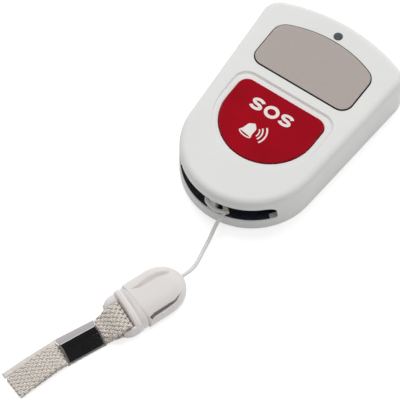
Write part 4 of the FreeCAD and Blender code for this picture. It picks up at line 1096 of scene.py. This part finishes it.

# %% [markdown]
# A yarn is many fibres twisted together, so fine slanted lines run along it.
# The place is the texture map that the tubes carry: the share of a turn, and the length in millimetres.
# A sine of the two gives the slant, and a little noise breaks it up as loose fibres do. Where the wave is
# low, in the grooves between fibres, the colour turns to the deep tone as painted shade.

# %% Yarn fibre group
def make_yarn_group():
    """Slanted fibres along a tube's texture map, with painted shade in the grooves between them."""
    group, given, wanted = new_group("yarn_fibres", twist=1.4, strands=5.0)

    def math_node(operation, first, second=None):
        """A sum, product or sine of what other nodes give."""
        links = [(0, first)] + ([(1, second)] if second else [])
        return add_node(group, "Math", links, operation=operation)

    parts = add_node(group, "SeparateXYZ", [("Vector", given["Place"])]).outputs
    round_way = math_node("MULTIPLY", parts["X"], given["Strands"]).outputs[0]
    long_way = math_node("MULTIPLY", parts["Y"], given["Twist"]).outputs[0]
    angle = math_node("MULTIPLY", math_node("ADD", round_way, long_way).outputs[0])
    angle.inputs[1].default_value = 2.0 * math.pi
    wave = math_node("SINE", angle.outputs[0]).outputs[0]
    height = add_node(group, "MapRange", [("Value", wave)], from_min=-1.0, from_max=1.0)
    fuzz = add_node(group, "TexNoise", [("Vector", given["Place"])], scale=6.0, detail=3.0)
    both = math_node("MULTIPLY", height.outputs["Result"], fuzz.outputs["Fac"]).outputs[0]
    # Painted shade: low places between fibres take the deep tone.
    share = add_node(group, "MapRange", [("Value", both)], from_min=0.05, from_max=0.45,
                     to_min=1.0, to_max=0.0)
    rough = add_node(group, "MapRange", [("Value", fuzz.outputs["Fac"])], to_min=0.7, to_max=0.95)
    return end_group(group, given, wanted, share.outputs["Result"], rough.outputs["Result"],
                     height.outputs["Result"])


yarn_group = make_yarn_group()

# %% [markdown]
# All finishes are put together in the same way, so one helper does it.
# What changes over the surface is linked from the group, and what is plain sits on the shader itself.
# The finish then goes straight onto new pieces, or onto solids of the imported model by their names.

# %% Build a material from a group
def make_look(group, name, on, tone, deep_tone, bump, shader=None, follow=None, **values):
    """A finish for pieces and nodes: bump is its strength and depth, follow a texture map's name."""
    look = bpy.data.materials.new(name)
    look.use_nodes = True
    tree = look.node_tree
    surface = tree.nodes["Principled BSDF"].inputs
    for label, value in (shader or {}).items():
        surface[label].default_value = value
    effect = tree.nodes.new("ShaderNodeGroup")
    effect.node_tree = group
    effect.inputs["Tone"].default_value = (*tone, 1.0)
    effect.inputs["Deep Tone"].default_value = (*deep_tone, 1.0)
    for label, value in values.items():
        effect.inputs[label.title()].default_value = value
    if follow:
        place = add_node(tree, "UVMap", uv_map=follow).outputs["UV"]
    else:
        place = add_node(tree, "TexCoord").outputs["Object"]
    tree.links.new(place, effect.inputs["Place"])
    bumps = add_node(tree, "Bump", [("Height", effect.outputs["Height"])],
                     strength=bump[0], distance=bump[1])
    tree.links.new(effect.outputs["Color"], surface["Base Color"])
    tree.links.new(effect.outputs["Roughness"], surface["Roughness"])
    tree.links.new(bumps.outputs["Normal"], surface["Normal"])
    dress(look, on)
    print("finish", name)
    return look


def dress(look, pieces):
    """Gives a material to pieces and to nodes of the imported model."""
    for piece in pieces:
        target = frame["nodes"][piece] if isinstance(piece, str) else piece
        target.data.materials.clear()
        target.data.materials.append(look)


# %% [markdown]
# The case is white plastic with a satin skin, and the key is crimson plastic of the same kind.
# The clasp is a slightly warmer white, and smoother, because such clasps come from a polished mould.
# A weak mirror, or a thin coat over the colour, sets satin apart from gloss at the same roughness.

# %% Plastic finishes
make_look(skin_group, "case_white_satin", ["front_cover", "back_cover"],
          (0.815, 0.815, 0.80), (0.785, 0.785, 0.775), (0.12, 0.00004),
          {"Specular IOR Level": 0.35}, grain=9000.0, drift=45.0, smooth=0.42, rough=0.56)
make_look(skin_group, "key_crimson_satin", ["call_key"],
          (0.38, 0.002, 0.011), (0.30, 0.002, 0.010), (0.10, 0.00003),
          {"Specular IOR Level": 0.12}, grain=9000.0, drift=70.0, smooth=0.34, rough=0.46)
make_look(skin_group, "print_white_ink", [letters, bell],
          (0.86, 0.83, 0.80), (0.80, 0.77, 0.75), (0.10, 0.00002),
          grain=12000.0, drift=400.0, smooth=0.35, rough=0.5)
make_look(skin_group, "clasp_white_smooth", [clasp_head, socket],
          (0.82, 0.785, 0.765), (0.785, 0.75, 0.735), (0.08, 0.00004),
          {"Coat Weight": 0.25, "Coat Roughness": 0.15},
          grain=5000.0, drift=120.0, smooth=0.30, rough=0.42)
make_look(skin_group, "tray_black_gloss", ["inner_tray"],
          (0.012, 0.015, 0.024), (0.02, 0.025, 0.04), (0.08, 0.00004),
          {"Coat Weight": 0.4, "Coat Roughness": 0.1},
          grain=6000.0, drift=200.0, smooth=0.22, rough=0.34)
make_look(skin_group, "film_black", ["plate_film"],
          (0.008, 0.008, 0.009), (0.016, 0.016, 0.017), (0.05, 0.00002),
          grain=9000.0, drift=500.0, smooth=0.3, rough=0.5)
make_look(skin_group, "lamp_smoked_lens", ["lamp_lens"],
          (0.075, 0.08, 0.09), (0.11, 0.115, 0.125), (0.05, 0.00003),
          {"Coat Weight": 0.6, "Coat Roughness": 0.08},
          grain=7000.0, drift=900.0, smooth=0.12, rough=0.25)

# %% [markdown]
# Inside the case lie parts that a buyer sees only when it is opened: nylon, epoxy, ceramic and gel.
# They take the same skin with a finer grain, because they are smaller and less well finished.

# %% Finishes of the parts inside
make_look(skin_group, "switch_black_nylon", ["switch_body"],
          (0.02, 0.02, 0.021), (0.035, 0.035, 0.036), (0.2, 0.00006),
          grain=8000.0, drift=400.0, smooth=0.45, rough=0.65)
make_look(skin_group, "plunger_white_nylon", ["switch_plunger"],
          (0.72, 0.71, 0.67), (0.66, 0.65, 0.60), (0.15, 0.00005),
          grain=8000.0, drift=500.0, smooth=0.4, rough=0.55)
make_look(skin_group, "chip_black_epoxy", ["radio_chip"],
          (0.022, 0.022, 0.024), (0.04, 0.04, 0.042), (0.3, 0.00006),
          grain=12000.0, drift=900.0, smooth=0.5, rough=0.7)
make_look(skin_group, "capacitor_tan_ceramic", ["capacitor_1", "capacitor_2", "capacitor_3"],
          (0.42, 0.30, 0.18), (0.33, 0.23, 0.13), (0.2, 0.00005),
          grain=14000.0, drift=1500.0, smooth=0.5, rough=0.7)
make_look(skin_group, "diode_yellow_gel", ["lamp_diode"],
          (0.75, 0.62, 0.20), (0.62, 0.48, 0.12), (0.05, 0.00003),
          {"Coat Weight": 0.5}, grain=6000.0, drift=1500.0, smooth=0.15, rough=0.3)

# %% [markdown]
# Screws, springs, the cell and the aerial have their own rolled, drawn or turned grain.
# One metal group serves them all: the stretch sets how long its lines are, the tones which metal it is.

# %% Metal finishes
METAL = {"Metallic": 1.0}
make_look(brushed_group, "screw_zinc_plate", [f"case_screw_{i}" for i in range(1, 5)],
          (0.58, 0.58, 0.57), (0.48, 0.48, 0.48), (0.15, 0.00003), METAL,
          grain=6000.0, stretch=0.3, smooth=0.25, rough=0.42)
make_look(brushed_group, "cell_rolled_steel", ["coin_cell"],
          (0.66, 0.66, 0.65), (0.56, 0.56, 0.555), (0.08, 0.00002), METAL,
          grain=5000.0, stretch=0.02, smooth=0.18, rough=0.34)
make_look(brushed_group, "spring_plated_steel",
          ["contact_positive", "contact_negative", "switch_cover", "switch_dome"],
          (0.62, 0.60, 0.55), (0.52, 0.50, 0.46), (0.08, 0.00002), METAL,
          grain=7000.0, stretch=0.03, smooth=0.22, rough=0.38)
make_look(brushed_group, "crystal_plated_lid", ["crystal"],
          (0.70, 0.70, 0.69), (0.60, 0.60, 0.60), (0.06, 0.00002), METAL,
          grain=9000.0, stretch=0.05, smooth=0.2, rough=0.35)
make_look(brushed_group, "aerial_etched_brass", ["aerial"],
          (0.60, 0.43, 0.18), (0.50, 0.34, 0.13), (0.08, 0.00002), METAL,
          grain=8000.0, stretch=0.04, smooth=0.25, rough=0.42)

# %% [markdown]
# The name plate is thin metal with a fine brushed, almost misty face, so it is only partly metallic.
# Its sides are painted nearly black wherever the surface stops facing up: painted shade and dark reflection
# along the gap at the plate's edge.

# %% Name plate
PLATE_SIDE_SHADE = (0.010, 0.010, 0.011)
SIDEWAYS, LEVEL = 0.72, 0.94
plate_metal = make_look(brushed_group, "plate_brushed_beige", ["name_plate"],
                        (0.56, 0.49, 0.455), (0.50, 0.44, 0.41), (0.06, 0.00002),
                        {"Metallic": 0.25}, grain=9000.0, stretch=0.03, smooth=0.42, rough=0.55)


def paint_side_shade(look, tone):
    """Paints what doesn't face up in a dark tone: painted shade for the gap along a plate's edge."""
    tree = look.node_tree
    faced = tree.nodes["Group"].outputs["Color"]
    normal = add_node(tree, "TexCoord").outputs["Normal"]
    parts = add_node(tree, "SeparateXYZ", [("Vector", normal)])
    upward = add_node(tree, "MapRange", [("Value", parts.outputs["Z"])],
                      from_min=SIDEWAYS, from_max=LEVEL)
    mixed = add_node(tree, "Mix", [("Factor", upward.outputs["Result"]), ("B", faced)],
                     data_type="RGBA")
    mixed.inputs["A"].default_value = (*tone, 1.0)
    tree.links.new(mixed.outputs["Result"], tree.nodes["Principled BSDF"].inputs["Base Color"])


# Painted shade: the plate's sides take the near-black tone.
paint_side_shade(plate_metal, PLATE_SIDE_SHADE)
print("dark sides on", plate_metal.name)

# %% [markdown]
# The crimp is polished and plated, so its faces mirror the studio, with only faint drawing lines.
# Its rounded edges take a much lighter tint as a painted highlight, the lips are a darker, duller grey, and
# the near side takes a near-black tint as painted shade.

# %% Crimp finishes
DRAWN = {"grain": 4000.0, "stretch": 0.05}
crimp.data.materials[FACE] = make_look(
    brushed_group, "crimp_polished_chrome", [], (0.33, 0.31, 0.31), (0.29, 0.275, 0.28),
    (0.02, 0.00001), METAL, smooth=0.06, rough=0.14, **DRAWN)
# Painted highlight: the rounded edges take a far lighter tint than the faces.
crimp.data.materials[EDGE] = make_look(
    brushed_group, "crimp_edge_painted_highlight", [], (0.80, 0.79, 0.80), (0.74, 0.73, 0.75),
    (0.02, 0.00001), METAL, smooth=0.10, rough=0.20, **DRAWN)
crimp.data.materials[RIM] = make_look(
    brushed_group, "crimp_dull_grey_rim", [], (0.22, 0.21, 0.195), (0.17, 0.16, 0.15),
    (0.05, 0.00001), {"Metallic": 0.25}, smooth=0.30, rough=0.45, **DRAWN)
# Painted shade: the near side takes a near-black tint.
crimp.data.materials[SIDE] = make_look(
    brushed_group, "crimp_side_painted_shade", [], (0.13, 0.125, 0.12), (0.10, 0.095, 0.09),
    (0.02, 0.00001), METAL, smooth=0.10, rough=0.20, **DRAWN)
print("crimp finishes", [look.name for look in crimp.data.materials])

# %% [markdown]
# The cord is a thin white braid, and the strap a coarse cream one, with warm painted shade from the deep
# tone in the grooves of their yarns, darkest on the strap.
# Cloth has a sheen, because loose fibres catch the light at a low angle, and a weak mirror.
# The knot and the woven edge are too fine for fibres, so they take the moulded skin at its roughest.

# %% Textile finishes
CLOTH = {"Sheen Weight": 0.25, "Sheen Roughness": 0.5, "Specular IOR Level": 0.2}
make_look(yarn_group, "cord_white_braid", [neck_cord, cord_loop],
          (0.84, 0.83, 0.81), (0.74, 0.72, 0.70), (0.35, 0.00004), CLOTH,
          follow="length_map", twist=1.1, strands=3.0)
# Its deep tone is painted shade in the yarn grooves, far darker than the cream.
make_look(yarn_group, "strap_cream_yarn", [strap],
          (0.96, 0.90, 0.84), (0.52, 0.46, 0.40), (0.6, 0.00006), CLOTH,
          follow="length_map", twist=1.3, strands=4.0)
make_look(skin_group, "knot_cream_braid", [cord_knot],
          (0.74, 0.68, 0.58), (0.60, 0.53, 0.43), (0.5, 0.00008), CLOTH,
          grain=5000.0, drift=900.0, smooth=0.75, rough=0.95)
make_look(skin_group, "strap_edge_weave", [strap_edge],
          (0.83, 0.79, 0.745), (0.72, 0.68, 0.63), (0.4, 0.00006), CLOTH,
          grain=4000.0, drift=700.0, smooth=0.75, rough=0.95)

# %% [markdown]
# A circuit board is green lacquer over copper, with tracks that show as a lighter green.
# Long thin bricks in rows give bare board, and the joints between them look like tracks.

# %% Circuit board finish
def make_board_look():
    """Green lacquer with lighter tracks, for the board alone."""
    look = bpy.data.materials.new("board_green_lacquer")
    look.use_nodes = True
    tree = look.node_tree
    surface = tree.nodes["Principled BSDF"].inputs
    surface["Coat Weight"].default_value = 0.5
    place = add_node(tree, "TexCoord").outputs["Object"]
    tracks = add_node(tree, "TexBrick", [("Vector", place)], offset=0.35, scale=700.0,
                      mortar_size=0.09, mortar_smooth=0.15, brick_width=4.2, row_height=1.0,
                      color1=(0.012, 0.10, 0.045, 1.0), color2=(0.016, 0.13, 0.055, 1.0),
                      mortar=(0.05, 0.27, 0.11, 1.0))
    haze = add_node(tree, "TexNoise", [("Vector", place)], scale=2500.0)
    rough = add_node(tree, "MapRange", [("Value", haze.outputs["Fac"])], to_min=0.2, to_max=0.38)
    bumps = add_node(tree, "Bump", [("Height", tracks.outputs["Fac"])], strength=0.4, distance=0.00003)
    tree.links.new(tracks.outputs["Color"], surface["Base Color"])
    tree.links.new(rough.outputs["Result"], surface["Roughness"])
    tree.links.new(bumps.outputs["Normal"], surface["Normal"])
    return look


dress(make_board_look(), ["circuit_board"])
print("materials in use", len([m for m in bpy.data.materials if m.users]))

# %% [markdown]
# The photograph's ground is pure white, with the object lit softly from above and behind.
# A stronger lamp would whiten the ground but burn out the white case as well.
# So the floor adds just enough white for the camera alone, and still takes the object's shadow.

# %% Floor and world
FLOOR_SIZE = 6.0
FLOOR_TONE = 0.78
FLOOR_LIFT = 0.58
WORLD_LIGHT = 0.38
WHITE = (1.0, 1.0, 1.0, 1.0)
select_none()
bpy.ops.mesh.primitive_plane_add(size=FLOOR_SIZE, location=(0.0, 0.0, 0.0))
floor = bpy.context.object
floor.name = "floor"


def seen_directly(tree):
    """One where the camera, metal or glass looks straight at the background, and nought elsewhere."""
    rays = tree.nodes.new("ShaderNodeLightPath").outputs
    seen = rays["Is Camera Ray"]
    for kind in ("Is Glossy Ray", "Is Transmission Ray"):
        seen = add_node(tree, "Math", [(0, seen), (1, rays[kind])], operation="MAXIMUM").outputs[0]
    return seen


world = bpy.data.worlds.new("studio")
world.use_nodes = True
bpy.context.scene.world = world
tree = world.node_tree
tree.nodes.clear()
plain = add_node(tree, "Background", color=WHITE, strength=WORLD_LIGHT)
white = add_node(tree, "Background", color=WHITE, strength=1.0)
mixed = add_node(tree, "MixShader",
                 [(0, seen_directly(tree)), (1, plain.outputs[0]), (2, white.outputs[0])])
add_node(tree, "OutputWorld", [("Surface", mixed.outputs[0])])

floor_look = bpy.data.materials.new("pale_floor")
floor_look.use_nodes = True
tree = floor_look.node_tree
shader = tree.nodes["Principled BSDF"]
shader.inputs["Base Color"].default_value = (FLOOR_TONE, FLOOR_TONE, FLOOR_TONE, 1.0)
shader.inputs["Roughness"].default_value = 0.9
shader.inputs["Specular IOR Level"].default_value = 0.1
scaled = add_node(tree, "Math", [(0, seen_directly(tree))], operation="MULTIPLY")
scaled.inputs[1].default_value = FLOOR_LIFT
lift = add_node(tree, "Emission", [("Strength", scaled.outputs[0])], color=WHITE)
total = add_node(tree, "AddShader", [(0, shader.outputs[0]), (1, lift.outputs[0])])
tree.links.new(total.outputs[0], tree.nodes["Material Output"].inputs["Surface"])
floor.data.materials.append(floor_look)
print("floor", FLOOR_SIZE, "m wide")

# %% [markdown]
# Two square lamps give the soft light, a large one above and behind and a weak one at the side.
# Polished metal would mirror the open sky, so black cards stand where the crimp looks, as in a studio.
# Only mirrored rays see the cards, so they cast no shadow and hide nothing.

# %% Lamps and cards
LAMP_TARGET = Vector((0.0, -0.02, 0.01))
CARD_TARGET = Vector((0.0, -0.05, 0.0))


def add_lamp(name, place, size, power):
    """A square soft lamp that faces the object."""
    data = bpy.data.lights.new(name, "AREA")
    data.shape = "SQUARE"
    data.size = size
    data.energy = power
    lamp = bpy.data.objects.new(name, data)
    lamp.location = place
    lamp.rotation_euler = (LAMP_TARGET - Vector(place)).to_track_quat("-Z", "Y").to_euler()
    bpy.context.scene.collection.objects.link(lamp)
    lamp.visible_glossy = False


def add_card(name, place, size):
    """A black card that only mirrored rays see, turned to the object."""
    select_none()
    bpy.ops.mesh.primitive_plane_add(size=size, location=place)
    card = bpy.context.object
    card.name = name
    card.rotation_euler = (CARD_TARGET - Vector(place)).to_track_quat("Z", "Y").to_euler()
    card.data.materials.append(card_look)
    card.visible_camera = False
    card.visible_diffuse = False
    card.visible_shadow = False
    card.visible_transmission = False


card_look = bpy.data.materials.new("dark_card")
card_look.use_nodes = True
card_tone = card_look.node_tree.nodes["Principled BSDF"].inputs["Base Color"]
card_tone.default_value = (0.01, 0.01, 0.01, 1.0)
add_lamp("top_lamp", (-0.35, 0.45, 1.1), size=0.9, power=10.3)
add_lamp("side_lamp", (0.9, 0.35, 0.5), size=0.6, power=1.5)
add_card("dark_card_above", (-0.28, 0.40, 0.86), size=0.9)
add_card("dark_card_between", (0.26, 0.18, 0.86), size=0.95)
add_card("dark_card_beside", (0.72, -0.05, 0.52), size=0.72)
cards = [piece.name for piece in bpy.data.objects if piece.name.startswith("dark_card")]
print("lamps", [light.name for light in bpy.data.lights], "cards", cards)
